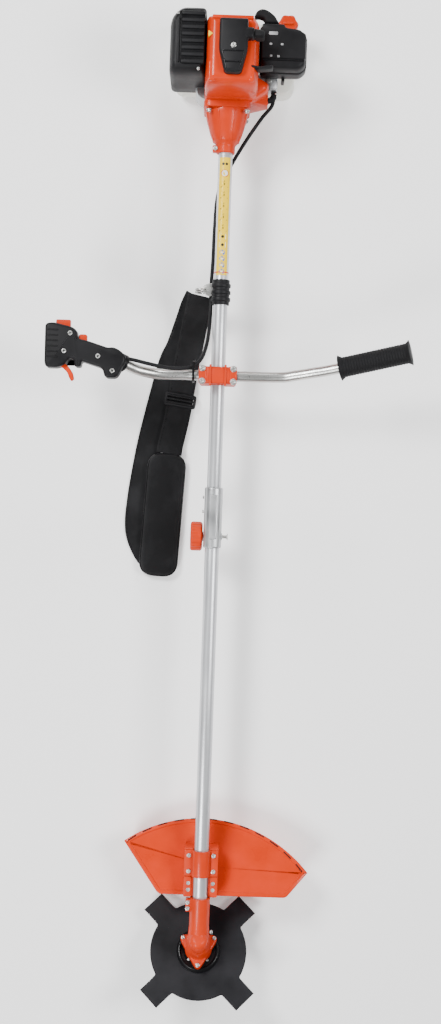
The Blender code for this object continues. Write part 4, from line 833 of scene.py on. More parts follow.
def build_blade():
    """Blade with ground edges and a central boss, holder, flange and nut."""
    place = basis(APEX + OUTPUT * BLADE_DROP, -OUTPUT, Y_AXIS)
    outline = blade_profile()
    rows = [(0.9 * MM, -1 * MM), (0.0, -0.15 * MM), (0.0, 0.15 * MM), (0.9 * MM, 1 * MM)]
    grid = np.array([np.column_stack([inward(outline, inset), np.full(len(outline), z)])
                     for inset, z in rows])
    count = len(outline)
    angle = np.arctan2(outline[:, 1], outline[:, 0])
    bore = np.column_stack([12.7 * MM * np.cos(angle), 12.7 * MM * np.sin(angle)])
    steps = [np.column_stack([bore, np.full(count, z)]) for z in (1 * MM, -1 * MM)]
    loop = np.concatenate([grid, np.array(steps)])
    blade = surface("blade_finish", placed(loop, place), "blade_paint", "blade_set",
                    close_v=True, caps=False)
    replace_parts(blade, "blade")
    for quarter in range(4):
        middle = math.radians(45 + 90 * quarter)
        out = np.array((math.cos(middle), math.sin(middle)))
        side = np.array((-out[1], out[0]))
        for edge_side in (-1, 1):
            spot = out * 108 * MM + side * edge_side * 21.9 * MM
            strip = np.array([spot + out * a + side * b for a, b in
                              ((-16 * MM, -0.45 * MM), (16 * MM, -0.45 * MM),
                               (16 * MM, 0.45 * MM), (-16 * MM, 0.45 * MM))])
            slab(f"blade_ground_edge_{quarter}_{edge_side + 1}", strip, -0.75 * MM, 0.75 * MM,
                 "bright_edge", "blade_set", place, edge=0.1 * MM)
    drop = BLADE_DROP - 1.3 * MM
    holder = lathe("blade_holder_finish",
                   [(12.7 * MM, 0), (40.5 * MM, 0), (40.5 * MM, 3 * MM), (36.5 * MM, 8.6 * MM),
                    (34 * MM, 8.6 * MM), (33 * MM, 3.4 * MM), (12.7 * MM, 3 * MM)],
                   APEX + OUTPUT * drop, -OUTPUT, "black_gloss", "blade_set", 0.9 * MM, 96)
    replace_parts(holder, "blade_holder")
    for i in range(4):
        angle = math.radians(45 + 90 * i)
        local = np.array([[24 * MM * math.cos(angle), 24 * MM * math.sin(angle), 4 * MM]])
        at = placed(local, place)[0]
        rod(f"holder_stud_{i}", 2.6 * MM, at, at - OUTPUT * 2 * MM, "zinc", "blade_set")
    low = APEX + OUTPUT * (BLADE_DROP + 1.3 * MM)
    flange = lathe("blade_nut_finish", [(0, 0), (25 * MM, 0), (25 * MM, 1.4 * MM),
                                        (17 * MM, 3.5 * MM), (9.8 * MM, 3.6 * MM),
                                        (9.8 * MM, 13 * MM), (0, 13.7 * MM)],
                   low, OUTPUT, "zinc", "blade_set", 0.8 * MM, 72,
                   lambda a, h: np.where(h > 4.2 * MM, 1 - 0.07 * np.cos(6 * a), 1.0))
    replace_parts(flange, "blade_nut")


# -------------------------------------------------------------------- the guard
GUARD_R = 245 * MM
GUARD_FRONT_Y = -1541 * MM
GUARD_FRONT_Z = 92 * MM
GUARD_TILT = math.radians(15)


GUARD_LEAN = 16 * MM
GUARD_LEVEL = 60 * MM


def leaned(points):
    """The curved wall's lean: r grows by lean (z / level - 1) beyond nine tenths."""
    centre = np.array((0, APEX[1] + OUTPUT[1] * BLADE_DROP))
    out = points[:, :2] - centre
    reach = np.linalg.norm(out, axis=1, keepdims=True)
    shift = GUARD_LEAN * (points[:, 2:] / GUARD_LEVEL - 1) / reach * (reach > 0.9 * GUARD_R)
    return np.column_stack([points[:, :2] + out * shift, points[:, 2]])


def guard_top(y):
    """Height of the guard's tilted plate at a place along the boom."""
    return GUARD_FRONT_Z - (y - GUARD_FRONT_Y) * math.tan(GUARD_TILT)


def build_guard():
    """Fan-shaped moulding: dished plate, rolled rim, skirt and short black pieces along the rim."""
    centre_y = APEX[1] + OUTPUT[1] * BLADE_DROP
    angle = np.linspace(math.radians(52), -math.radians(36), 121)
    arc = np.column_stack([GUARD_R * np.sin(angle), centre_y + GUARD_R * np.cos(angle)])
    front = np.array([(-78 * MM, GUARD_FRONT_Y), (158 * MM, GUARD_FRONT_Y)])
    corners = np.vstack([arc, front])
    radii = np.r_[np.zeros(121), 6 * MM, 6 * MM]
    outline = shrunk(corners, radii, 0, 3)

    def lifted(inset, drop):
        """The fan outline inset along its mitres, at a depth below the plate."""
        loop = shrunk(corners, radii, inset, 3)
        loop = leaned(np.column_stack([loop, guard_top(loop[:, 1])]))
        return np.column_stack([loop[:, :2], guard_top(loop[:, 1]) - drop])

    on_front = outline[:, 1] < GUARD_FRONT_Y + 2 * MM
    skirt = np.column_stack([outline, guard_top(outline[:, 1])])
    floor = skirt[:, 2] - 3 * MM
    near = np.clip((outline[:, 1] - GUARD_FRONT_Y) / (26 * MM), 0, 1)
    skirt[:, 2] = np.where(on_front, floor, floor * (1 - near) + 0.4 * MM * near)
    inner = shrunk(corners, radii, 3 * MM, 3)
    low_in = np.column_stack([inner, skirt[:, 2]])
    high_in = lifted(3 * MM, 3 * MM)
    rolled = [lifted(0.2 * MM, 2.2 * MM), lifted(0.9 * MM, 0.7 * MM), lifted(2.2 * MM, 0.0)]
    dish = lifted(7 * MM, 0.0)
    step = lifted(8.5 * MM, 1.6 * MM)
    under = lifted(10 * MM, 4.2 * MM)
    rows = [step, dish, *rolled[::-1], leaned(skirt), leaned(low_in), high_in, under]
    middle = np.array((0.02, GUARD_FRONT_Y + 0.05))

    def crown(loop, share, drop):
        """A loop drawn in to a share of its distance from the middle."""
        flat = middle + (loop[:, :2] - middle) * share
        return np.column_stack([flat, guard_top(flat[:, 1]) - drop])

    shares = (0.02, 0.3, 0.6, 0.9)
    rows = ([crown(rows[0], k, 1.6 * MM) for k in shares] + rows
            + [crown(rows[-1], k, 4.2 * MM) for k in shares[::-1]])
    guard = surface("guard_finish", np.array(rows), "orange_gloss", "lower_boom")
    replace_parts(guard, "guard")
    # Twelve short black slabs set along the rim.
    for i in range(12):
        a = math.radians(48 - 7.3 * i)
        r = GUARD_R - 1.5 * MM
        spot = np.array((r * math.sin(a), centre_y + r * math.cos(a)))
        z = guard_top(spot[1])
        out = np.array((math.sin(a), math.cos(a), 0))
        place = basis((spot[0], spot[1], z), (0, math.sin(GUARD_TILT), math.cos(GUARD_TILT)), out)
        slab(f"guard_rim_black_dash_{i}", rectangle((-9 * MM, 9 * MM), (-1 * MM, 1 * MM),
                                              0.7 * MM), -2 * MM, 0.7 * MM,
             "black_moulded", "lower_boom", place, edge=0.3 * MM)
    cutter = slab("line_cutter_finish", rectangle((-9 * MM, 9 * MM), (-13 * MM, 13 * MM),
                                                  2 * MM), -0.75 * MM, 0.75 * MM, "bright_edge",
                  "lower_boom", basis((-113 * MM, -1470.75 * MM, 21 * MM), Y_AXIS, Z_AXIS),
                  edge=0.3 * MM)
    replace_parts(cutter, "line_cutter")


def build_guard_bracket():
    """Clamp band over the boom, its side flanges, bolts and the channel below."""
    refined("guard_bracket_base", "orange_cast", "lower_boom", 1.5 * MM)
    y0, y1 = -1499 * MM, -1452 * MM
    angle = np.linspace(-0.05, math.pi + 0.05, 34)
    ring = fillet([(y0, 13.3 * MM), (y0, 17.5 * MM), (y1, 17.5 * MM), (y1, 13.3 * MM)], MM, 3)
    grid = np.stack([ring[None, :, 1] * np.cos(angle)[:, None],
                     np.broadcast_to(ring[None, :, 0], (34, len(ring))),
                     BOOM_Z + GAP + ring[None, :, 1] * np.sin(angle)[:, None]], axis=-1)
    band = surface("guard_clamp_band", grid, "orange_cast", "lower_boom")
    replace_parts(band, "guard_bracket_cap")
    up = basis((0, 0, BOOM_Z), Z_AXIS, Y_AXIS)
    for side in (-1, 1):
        slab(f"guard_clamp_wing_{side + 1}",
             rectangle(tuple(sorted((side * 14 * MM, side * 31 * MM))), (y0, y1), 3 * MM),
             GAP, 3 * MM, "orange_cast", "lower_boom", up, edge=0.3 * MM, top=1 * MM)
        for i, y in enumerate((y0 + 9 * MM, y1 - 9 * MM)):
            hex_bolt(f"guard_clamp_bolt_{side + 1}_{i}", boom_at(y, side * 22.5 * MM, 3 * MM),
                     Z_AXIS, "lower_boom", 6 * MM)
        slab(f"guard_flange_{side + 1}",
             rectangle(tuple(sorted((side * 17 * MM, side * 31 * MM))),
                       (-1537 * MM, y0 - 1 * MM), 3 * MM), -GAP, 2.2 * MM, "orange_cast",
             "lower_boom", up, edge=0.2 * MM, top=0.8 * MM)
        for i, y in enumerate((-1512 * MM, -1524 * MM)):
            lathe(f"guard_flange_hole_{side + 1}_{i}",
                  [(0, 0.5 * MM), (2.6 * MM, 0.5 * MM), (3.6 * MM, 0.6 * MM), (3.6 * MM, 0),
                   (0, 0)], boom_at(y, side * 22.5 * MM, 2.0 * MM), Z_AXIS, "zinc",
                  "lower_boom", 0.1 * MM, 24)


# ------------------------------------------------------------------------ stage
CAMERA_AT = (0.0133, -0.834, 2.715)
CAMERA_TURN = math.radians(1.97)
LIGHTS_AIM = Vector((0, -0.8, 0.1))
FLOOR_REACH = 6.0
FLOOR_DROP = 0.6 * MM
FLOOR_GLOW = 0.28
SKY_STRENGTH = 0.16


def build_stage(lens):
    """Pale floor, soft lights and the camera looking straight down."""
    scene = bpy.context.scene
    mesh = bpy.data.meshes.new("floor")
    corners = [(x * FLOOR_REACH, y * FLOOR_REACH + LIGHTS_AIM.y, -FLOOR_DROP)
               for x, y in ((-1, -1), (1, -1), (1, 1), (-1, 1))]
    mesh.from_pydata(corners, [], [(0, 1, 2, 3)])
    floor = bpy.data.objects.new("floor", mesh)
    scene.collection.objects.link(floor)
    paper = bpy.data.materials.new("Pale floor")
    paper.use_nodes = True
    shader = paper.node_tree.nodes["Principled BSDF"]
    shader.inputs["Base Color"].default_value = (0.93, 0.93, 0.93, 1)
    shader.inputs["Roughness"].default_value = 0.9
    shader.inputs["Emission Color"].default_value = (1, 1, 1, 1)
    shader.inputs["Emission Strength"].default_value = FLOOR_GLOW
    mesh.materials.append(paper)
    lamps = (("key", (-1.5, 0.6, 2.6), 112, 0.9), ("fill", (1.9, -0.6, 2.4), 74, 1.0),
             ("far", (-1.2, -2.6, 2.4), 84, 1.0), ("rim", (0.8, 2.3, 1.6), 38, 0.7))
    for name, at, power, size in lamps:
        light = bpy.data.lights.new(name, "AREA")
        light.energy = power
        light.size = size
        lamp = bpy.data.objects.new(name, light)
        lamp.location = at
        aim = LIGHTS_AIM - Vector(at)
        lamp.rotation_euler = aim.to_track_quat("-Z", "Y").to_euler()
        scene.collection.objects.link(lamp)
    world = bpy.data.worlds.new("Studio")
    world.use_nodes = True
    world.node_tree.nodes["Background"].inputs["Color"].default_value = (1, 1, 1, 1)
    world.node_tree.nodes["Background"].inputs["Strength"].default_value = SKY_STRENGTH
    scene.world = world
    data = bpy.data.cameras.new("Camera")
    data.sensor_width = 36
    data.lens = lens
    data.clip_end = 30
    camera = bpy.data.objects.new("Camera", data)
    camera.location = CAMERA_AT
    camera.rotation_euler = (0, 0, CAMERA_TURN)
    scene.collection.objects.link(camera)
    scene.camera = camera


# ---------------------------------------------------------------------- add-on
class BrushCutterSizes(bpy.types.PropertyGroup):
    """Sizes the builder reads."""
    lens: FloatProperty(name="Camera lens", description="Focal length of the front view",
                        default=50.1, min=20, max=120)
    pad_fill: FloatProperty(name="Pad fill", description="How plump the shoulder pad is",
                            default=0.6, min=0.1, max=1.0)
    stitch_pitch: FloatProperty(name="Stitch pitch", description="Spacing of the stitches",
                                default=0.006, unit="LENGTH", min=0.002, max=0.02)
    grip_grooves: IntProperty(name="Grip grooves", description="Grooves along the right grip",
                            default=26, min=4, max=60)


class BrushCutterColours(bpy.types.PropertyGroup):
    """Colours of the painted and moulded parts."""
    orange: FloatVectorProperty(name="Orange", description="Covers, guard and fittings",
                                default=(0.56, 0.030, 0.0008), subtype="COLOR", size=3,
                                min=0, max=1)
    black: FloatVectorProperty(name="Black", description="Moulded black parts",
                               default=(0.007, 0.007, 0.008), subtype="COLOR", size=3,
                               min=0, max=1)


# ------------------------------------------------------------------- the engine
def build_engine_core():
    """Crankcase, fan housing, cylinder and intake parts with softened edges."""
    for node, look, edge in (("crankcase", "alloy", 1.2 * MM), ("fan_housing", "orange_cast", 1 * MM),
                             ("cylinder", "alloy", 0.4 * MM), ("muffler", "zinc", 2 * MM),
                             ("carburettor", "alloy", 1.2 * MM),
                             ("intake_insulator", "black_moulded", 1 * MM),
                             ("starter_housing", "black_moulded", 1 * MM)):
        refined(node, look, "machine", edge)
    boot = ((58, -70, 128), (64, -80, 126), (74, -84, 122), (83, -77, 118), (85, -66, 116))
    path = curve_through(np.array(boot) * MM, 30)
    sweep("intake_boot", path, circle(5.5 * MM, 24), "black_rubber", "machine",
          1 + 0.1 * np.cos(np.linspace(0, 40, 30)))
    for i, (x, y) in enumerate(((50, -58), (50, -44), (62, -62), (88, -62))):
        rod(f"intake_screw_{i}", 2.6 * MM, (x * MM, (y - 8) * MM, 126 * MM),
            (x * MM, (y - 10.5) * MM, 126 * MM), "zinc", "machine")
    rod("throttle_lever_boss", 4.5 * MM, (74 * MM, -51 * MM, 134 * MM),
        (74 * MM, -51 * MM, 138 * MM), "zinc", "machine")
    slab("throttle_lever_arm", rectangle((71 * MM, 78 * MM), (-70 * MM, -48 * MM), 3 * MM),
         136 * MM, 137.6 * MM, "zinc", "machine", edge=0.3 * MM)


def build_clutch_housing():
    """Square bolted flange, ribbed cone and split collar."""
    cone = lathe("clutch_housing_finish",
                 [(13.3 * MM, 0), (39 * MM, 0), (39 * MM, 8 * MM), (36 * MM, 22 * MM),
                  (29 * MM, 46 * MM), (24 * MM, 58 * MM), (17 * MM, 65 * MM),
                  (17 * MM, 79.5 * MM), (13.3 * MM, 79.5 * MM), (13.3 * MM, 60 * MM),
                  (13.3 * MM, 20 * MM)],
                 boom_at(-101.5 * MM), -Y_AXIS, "orange_cast", "machine", 3 * MM, 96)
    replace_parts(cone, "clutch_housing")
    face = basis(boom_at(-99.5 * MM), Y_AXIS, Z_AXIS)
    slab("clutch_flange", rectangle((-42 * MM, 42 * MM), (-42 * MM, 42 * MM), 14 * MM),
         -6 * MM, 6 * MM, "orange_cast", "machine", face, edge=1.5 * MM)
    for i in range(8):
        a = math.radians(22.5 + 45 * i)
        out = np.array((math.cos(a), 0, math.sin(a)))
        across = np.array((-math.sin(a), 0, math.cos(a)))
        line = [(-105 * MM, 40 * MM), (-113 * MM, 40 * MM), (-160 * MM, 25.4 * MM),
                (-160 * MM, 20 * MM), (-105 * MM, 30 * MM)]
        flat = fillet([(r, y) for y, r in line], 1.5 * MM, 2)
        place = np.column_stack([out, Y_AXIS, across, boom_at(0.0)])
        slab(f"clutch_rib_{i}", flat, -1.4 * MM, 1.4 * MM, "orange_cast", "machine", place,
             edge=0.7 * MM, steps=2)
    for i, (x, z) in enumerate(((-32, -34), (36, -34), (-32, 34), (36, 34))):
        hex_bolt(f"clutch_bolt_{i}", boom_at(-109.5 * MM, x * MM, z * MM), -Y_AXIS, "machine",
                 8 * MM)
    slab("clutch_clamp_lug", rectangle((-24 * MM, -10 * MM), (-179 * MM, -167 * MM), 2.5 * MM),
         BOOM_Z - 8 * MM, BOOM_Z + 8 * MM, "orange_cast", "machine", edge=2 * MM)
    hex_bolt("clutch_clamp_bolt", boom_at(-173 * MM, -18.5 * MM, 8 * MM), Z_AXIS, "machine",
             6.4 * MM)


def build_covers():
    """Orange top and fan covers, the black plug cover with its side arm, a sticker."""
    corners = np.array([(-40.5, -92), (53.5, -92), (53.5, 20), (44, 33.5), (-40.5, 33.5)]) * MM
    radii = np.array((7, 9, 5, 6, 7)) * MM
    rows = [(2.5, 152), (0, 152), (0, 196), (1, 214), (3, 228), (6, 237), (10, 242.5),
            (14, 244.6), (18, 245)]
    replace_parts(shell("engine_top_cover_finish", corners, radii, rows, "orange_gloss",
                      "machine"), "engine_top_cover")
    slab("cover_ridge_rear", rectangle((-30 * MM, 42 * MM), (22 * MM, 28 * MM), 2 * MM),
         236 * MM, 245.6 * MM, "orange_gloss", "machine", edge=0.3 * MM, top=1 * MM)
    for i, (x0, x1) in enumerate(((-34, -22), (36, 46))):
        slab(f"cover_shoulder_{i}", rectangle((x0 * MM, x1 * MM), (-86 * MM, -50 * MM), 4 * MM),
             228 * MM, 243 * MM, "orange_gloss", "machine", edge=0.3 * MM, top=2.4 * MM)
    fan = np.array([(-41, -94), (42, -94), (52, -92), (73.6, -78), (73.6, -64), (53, -52),
                    (-41, -52)]) * MM
    rows = [(2, 112), (0, 114), (0, 158), (1.5, 164), (4, 168), (8, 170)]
    shell("fan_cover", fan, np.array((6, 8, 8, 7, 5, 6, 4)) * MM, rows, "orange_gloss",
          "machine")
    slab("fan_cover_lip", rectangle((-39 * MM, 45 * MM), (-96.4 * MM, -93 * MM), 1.6 * MM),
         146 * MM, 156 * MM, "orange_gloss", "machine", edge=0.8 * MM)
    plug = np.array([(-17, 19), (-17, -34), (-7, -72), (-3, -75.5), (19, -75.5), (24, -72),
                     (33, -34), (33, -16), (44, -16), (44, 4), (33, 4), (33, 19)]) * MM
    radii = np.array((4, 6, 3, 3, 3, 3, 6, 2, 4, 4, 2, 4)) * MM
    rows = [(0, 244), (0, 254), (0.5, 257.5), (1.5, 259.6), (3, 261), (5, 261.6)]
    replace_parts(shell("spark_plug_cover_finish", plug, radii, rows, "black_moulded", "machine",
                      4), "spark_plug_cover")
    for i, (y, half) in enumerate(((-39, 19), (-58, 15))):
        slab(f"plug_cover_step_{i}", rectangle(((8 - half) * MM, (8 + half) * MM),
                                               ((y - 1.3) * MM, (y + 1.3) * MM), 1 * MM),
             258 * MM, 262.4 * MM, "black_gloss", "machine", edge=0.2 * MM, top=1 * MM)
    for side in (-1, 1):
        ends = np.array([(8 + side * 18.5, -40, 261.4), (8 + side * 11.5, -70, 261.4)]) * MM
        sweep(f"plug_cover_edge_{side + 1}", np.linspace(ends[0], ends[1], 12),
              circle(1 * MM, 12), "black_gloss", "machine")
    hex_bolt("plug_cover_screw", (8.5 * MM, -29 * MM, 260.8 * MM), Z_AXIS, "machine", 7 * MM)
    arm = np.array([(36, -61), (54, -65), (78, -62), (78, -55), (54, -58), (36, -55)]) * MM
    shell("intake_arm", arm, 2.5 * MM, [(0, 226), (0, 240), (1, 243), (2, 244.4)],
          "black_moulded", "machine")
    duct = np.array([(40, -14), (62, -12), (62, 2), (40, 4)]) * MM
    shell("plug_lead_boot", duct, 4 * MM, [(0, 232), (0, 248), (1, 252), (4, 255)],
          "black_rubber", "machine")
    shell("cover_sticker", np.array([(-36, -10), (-28, -4.5), (-36, 1)]) * MM, 1 * MM,
          [(0, 236), (0, 243.6), (0.4, 243.9)], "label_yellow", "machine")


def build_muffler_guard():
    """Black shell round the muffler: bevelled left side, louvres on the top."""
    corners = np.array([(-104, -68), (-40.5, -68), (-40.5, 50), (-86, 50), (-104, 30)]) * MM
    radii = np.array((10, 5, 5, 12, 12)) * MM
    rows = [(2.5, 104), (0, 104), (0, 202), (1.2, 213), (4, 222.5), (8, 228), (11, 230)]
    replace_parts(shell("muffler_guard_finish", corners, radii, rows, "black_moulded",
                      "machine"), "muffler_guard")
    floor = np.array(oblong((-84 * MM, -42.5 * MM), (-55 * MM, 38 * MM)))
    shell("muffler_grille", floor, 3 * MM, [(0, 224), (0, 230.6), (0.6, 231.2)], "black_gloss",
          "machine")
    for i in range(8):
        y = -50.5 + 12 * i
        slab(f"muffler_louvre_{i}", rectangle((-83 * MM, -43 * MM),
                                              ((y - 3.4) * MM, (y + 3.4) * MM), 2.5 * MM),
             228 * MM, 234.4 * MM, "black_moulded", "machine", edge=0.3 * MM, top=1.6 * MM)
    for i, (x, z) in enumerate(((-88, 232.8), (-94, 229))):
        slab(f"muffler_ridge_{i}", rectangle(((x - 1.6) * MM, (x + 1.6) * MM),
                                             (-52 * MM, 26 * MM), 1.4 * MM), (z - 8) * MM,
             z * MM, "black_moulded", "machine", edge=0.3 * MM, top=1 * MM)
    for i, (x, y) in enumerate(((-90, 34), (-52, -62))):
        rod(f"muffler_guard_screw_{i}", 2.6 * MM, (x * MM, y * MM, 226 * MM),
            (x * MM, y * MM, 231.4 * MM), "zinc", "machine")
    shell("blower_side", np.array([(-58, -84), (-36, -95), (-36, -30), (-58, -30)]) * MM,
          np.array((12, 4, 4, 6)) * MM, [(3, 84), (0, 88), (0, 132), (3, 138)], "alloy",
          "machine")


def build_air_filter():
    """Filter box: base tray, stepped cover with a sloping lip, and its catch."""
    corners = np.array([(54.5, -36), (62, -48), (128, -48), (139.5, -38), (139.5, 19),
                        (128, 28), (104, 30), (98, 37), (54.5, 37)]) * MM
    radii = np.array((6, 6, 6, 6, 4, 4, 3, 4, 6)) * MM
    base = shell("air_filter_base_finish", corners, radii,
                 [(4, 134.5), (1, 136), (0, 139), (0, 149.6), (0.5, 150.2)], "black_moulded",
                 "machine")
    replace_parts(base, "air_filter_base")
    rows = [(0, 150.4), (0, 164), (0.6, 166), (2, 166.6), (2.4, 179), (4, 186), (7, 190),
            (10, 191)]
    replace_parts(shell("air_filter_cover_finish", corners, radii, rows, "black_moulded",
                      "machine"), "air_filter_cover")
    panel = np.array([(58, -28), (136, -28), (136, 16), (124, 24), (100, 27), (96, 33),
                      (58, 33)]) * MM
    shell("filter_panel", panel, 3 * MM, [(0, 186), (0, 191.8), (0.5, 193), (2, 193.6)],
          "black_moulded", "machine")
    slab("filter_seam", rectangle((60 * MM, 134 * MM), (-31.6 * MM, -29.8 * MM), 0.8 * MM),
         188 * MM, 192.4 * MM, "black_gloss", "machine", edge=0.2 * MM)
    for i, (x, y) in enumerate(((74, -3), (94, -3), (75, -24), (88, -24.5))):
        slab(f"filter_mark_{i}", rectangle(((x - 2.2) * MM, (x + 2.2) * MM),
                                           ((y - 1.8) * MM, (y + 1.8) * MM), 0.8 * MM),
             193 * MM, 193.9 * MM, "alloy", "machine", edge=0.1 * MM)
    slab("filter_window", rectangle((70 * MM, 86 * MM), (13 * MM, 19 * MM), 2 * MM), 192 * MM,
         194.2 * MM, "alloy", "machine", edge=0.4 * MM)
    lever = slab("choke_lever_finish", rectangle((96 * MM, 102 * MM), (-54 * MM, -48.4 * MM),
                                                 2 * MM), 120 * MM, 146 * MM, "black_moulded",
                 "choke_lever", edge=1 * MM)
    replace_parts(lever, "choke_lever")


def build_tank():
    """Milky fuel tank, its foot, filler neck and lobed cap."""
    corners = oblong((-101 * MM, 124 * MM), (-54 * MM, 80 * MM))
    rows = [(9, 12.5), (4, 14), (1.5, 18), (0, 25), (0, 49), (1.5, 54.5), (4, 58.6), (9, 60)]
    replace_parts(shell("fuel_tank_finish", corners, 24 * MM, rows, "tank_milk", "machine", 8),
                "fuel_tank")
    pipe("tank_neck", 14.5 * MM, 9 * MM, (107 * MM, 66 * MM, 58 * MM), Z_AXIS, 32 * MM,
         "tank_milk", "machine")
    cap = lathe("fuel_cap_finish", [(0, 0), (17 * MM, 0), (18 * MM, 2 * MM), (18 * MM, 17 * MM),
                                    (15 * MM, 21.6 * MM), (0, 22 * MM)],
                (107 * MM, 66 * MM, 78 * MM), Z_AXIS, "orange_gloss", "fuel_cap", 2.2 * MM, 120,
                lambda a, h: 1 + 0.062 * np.cos(6 * a) * (h < 21.7 * MM))
    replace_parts(cap, "fuel_cap")
    slab("fuel_cap_bar", rectangle((98 * MM, 116 * MM), (63.5 * MM, 68.5 * MM), 2 * MM), 96 * MM,
         103 * MM, "orange_gloss", "fuel_cap", edge=0.4 * MM, top=1.5 * MM)
    refined("tank_foot", "black_moulded", "machine", 2.5 * MM)


def build_starter():
    """Hooked pull handle and the vented recoil housing."""
    grip = np.array([(43, 48), (47, 59), (57, 64.5), (68, 61), (80, 52), (88.5, 38), (63, 38),
                     (61, 46), (53, 49)]) * MM
    radii = np.array((3, 5, 6, 6, 5, 2, 2, 4, 3)) * MM
    rows = [(3, 160), (1, 161.5), (0, 164), (0, 178), (1, 180.5), (3, 182)]
    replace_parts(shell("starter_grip_finish", grip, radii, rows, "black_rubber",
                      "starter_grip"), "starter_grip")
    for i in range(5):
        a = math.radians(60 + 60 * i)
        rod(f"starter_vent_{i}", 4 * MM, boom_at(59 * MM, 26 * MM * math.cos(a),
                                                 26 * MM * math.sin(a)),
            boom_at(60.6 * MM, 26 * MM * math.cos(a), 26 * MM * math.sin(a)), "black_gloss",
            "machine")


# ---------------------------------------------------------------- handlebar
LEFT_ROUTE = np.array([(-185, -569.5, 183.5), (-163.7, -578, 172), (-140, -585.5, 159),
                       (-104.2, -589.5, 147), (-61, -588.5, 143), (-36, -588.5, 143),
                       (0, -588.5, 143)]) * MM
GRIP_START = np.array((213, -571, 169.5)) * MM
GRIP_END = np.array((338.9, -541.9, 203.5)) * MM
RIGHT_ROUTE = np.array([(0, -588.5, 143), (36.4, -588.5, 143), (112, -587.6, 143),
                        (140, -584, 149), (170, -579, 158)]) * MM


def build_handlebar(grooves):
    """Bent tube through the clamp, and the grooved right grip."""
    bar_end = GRIP_START + 0.96 * (GRIP_END - GRIP_START)
    route = np.vstack([LEFT_ROUTE, RIGHT_ROUTE[1:], [GRIP_START], [bar_end]])
    bar = sweep("handlebar_tube_finish", curve_through(route, 180), circle(9.7 * MM, 32),
                "zinc", "machine")
    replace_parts(bar, "handlebar_tube")
    along = GRIP_END - GRIP_START
    length = np.linalg.norm(along)
    along /= length
    count = grooves * 6
    h = np.linspace(5 * MM, length, count)
    body = 18 * MM + 0.55 * MM * np.cos((h - h[0]) / (h[-1] - h[0]) * 2 * math.pi * grooves)
    near = np.exp(-((h - h[0]) / (4.5 * MM)) ** 2)
    far = np.exp(-((h - h[-1]) / (4 * MM)) ** 2)
    radius = body + 4.6 * MM * near + 4.4 * MM * far
    profile = [(10.2 * MM, h[0]), *zip(radius, h), (12 * MM, h[-1] + 1 * MM),
               (10.2 * MM, h[-1] - 2 * MM)]
    grip = lathe("right_grip_finish", profile, GRIP_START, along, "black_rubber", "machine",
                 0.3 * MM, 72)
    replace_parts(grip, "right_grip")
    rod("right_grip_end_plug", 11 * MM, GRIP_START + along * (length - 3 * MM),
        GRIP_START + along * (length + 1.2 * MM), "black_moulded", "machine", 1 * MM)


def build_bar_clamp():
    """Orange three-piece clamp with raised flanges and four bolts."""
    for node, edge in (("handlebar_clamp_base", 1.5), ("handlebar_clamp_cap", 2.5),
                       ("boom_clamp_cap", 2)):
        refined(node, "orange_cast", "machine", edge * MM)
    for side in (-1, 1):
        x = side * 13.6 * MM
        slab(f"bar_clamp_flange_{side + 1}", rectangle((x - 2 * MM, x + 2 * MM),
                                                       (-607.5 * MM, -569.5 * MM), 1.4 * MM),
             150 * MM, 160.5 * MM, "orange_cast", "machine", edge=0.5 * MM, top=1 * MM)
        slab(f"bar_clamp_shoulder_{side + 1}",
             rectangle(tuple(sorted((side * 20 * MM, side * 34.5 * MM))),
                       (-605 * MM, -572 * MM), 5 * MM), 150 * MM, 159.5 * MM, "orange_cast",
             "machine", edge=0.5 * MM, top=2.4 * MM)
        for i, y in enumerate((-600 * MM, -577 * MM)):
            hex_bolt(f"bar_clamp_bolt_{side + 1}_{i}", (side * 28 * MM, y, 159 * MM), Z_AXIS,
                     "machine", 8.6 * MM)


THROTTLE_OUTLINE = np.array([
    (-307, -511.5), (-292, -509), (-258, -517), (-250.5, -523), (-249, -536.7), (-231, -540),
    (-195, -551), (-186, -549.5), (-175, -554), (-163.3, -564), (-163, -576), (-171, -590),
    (-178, -604), (-199, -604.5), (-203.6, -587.5), (-241.5, -576.3), (-241.6, -586.3),
    (-253.4, -587.3), (-254.4, -574.3), (-262, -572), (-271, -584), (-283, -589),
    (-303, -589), (-306.5, -581)]) * MM


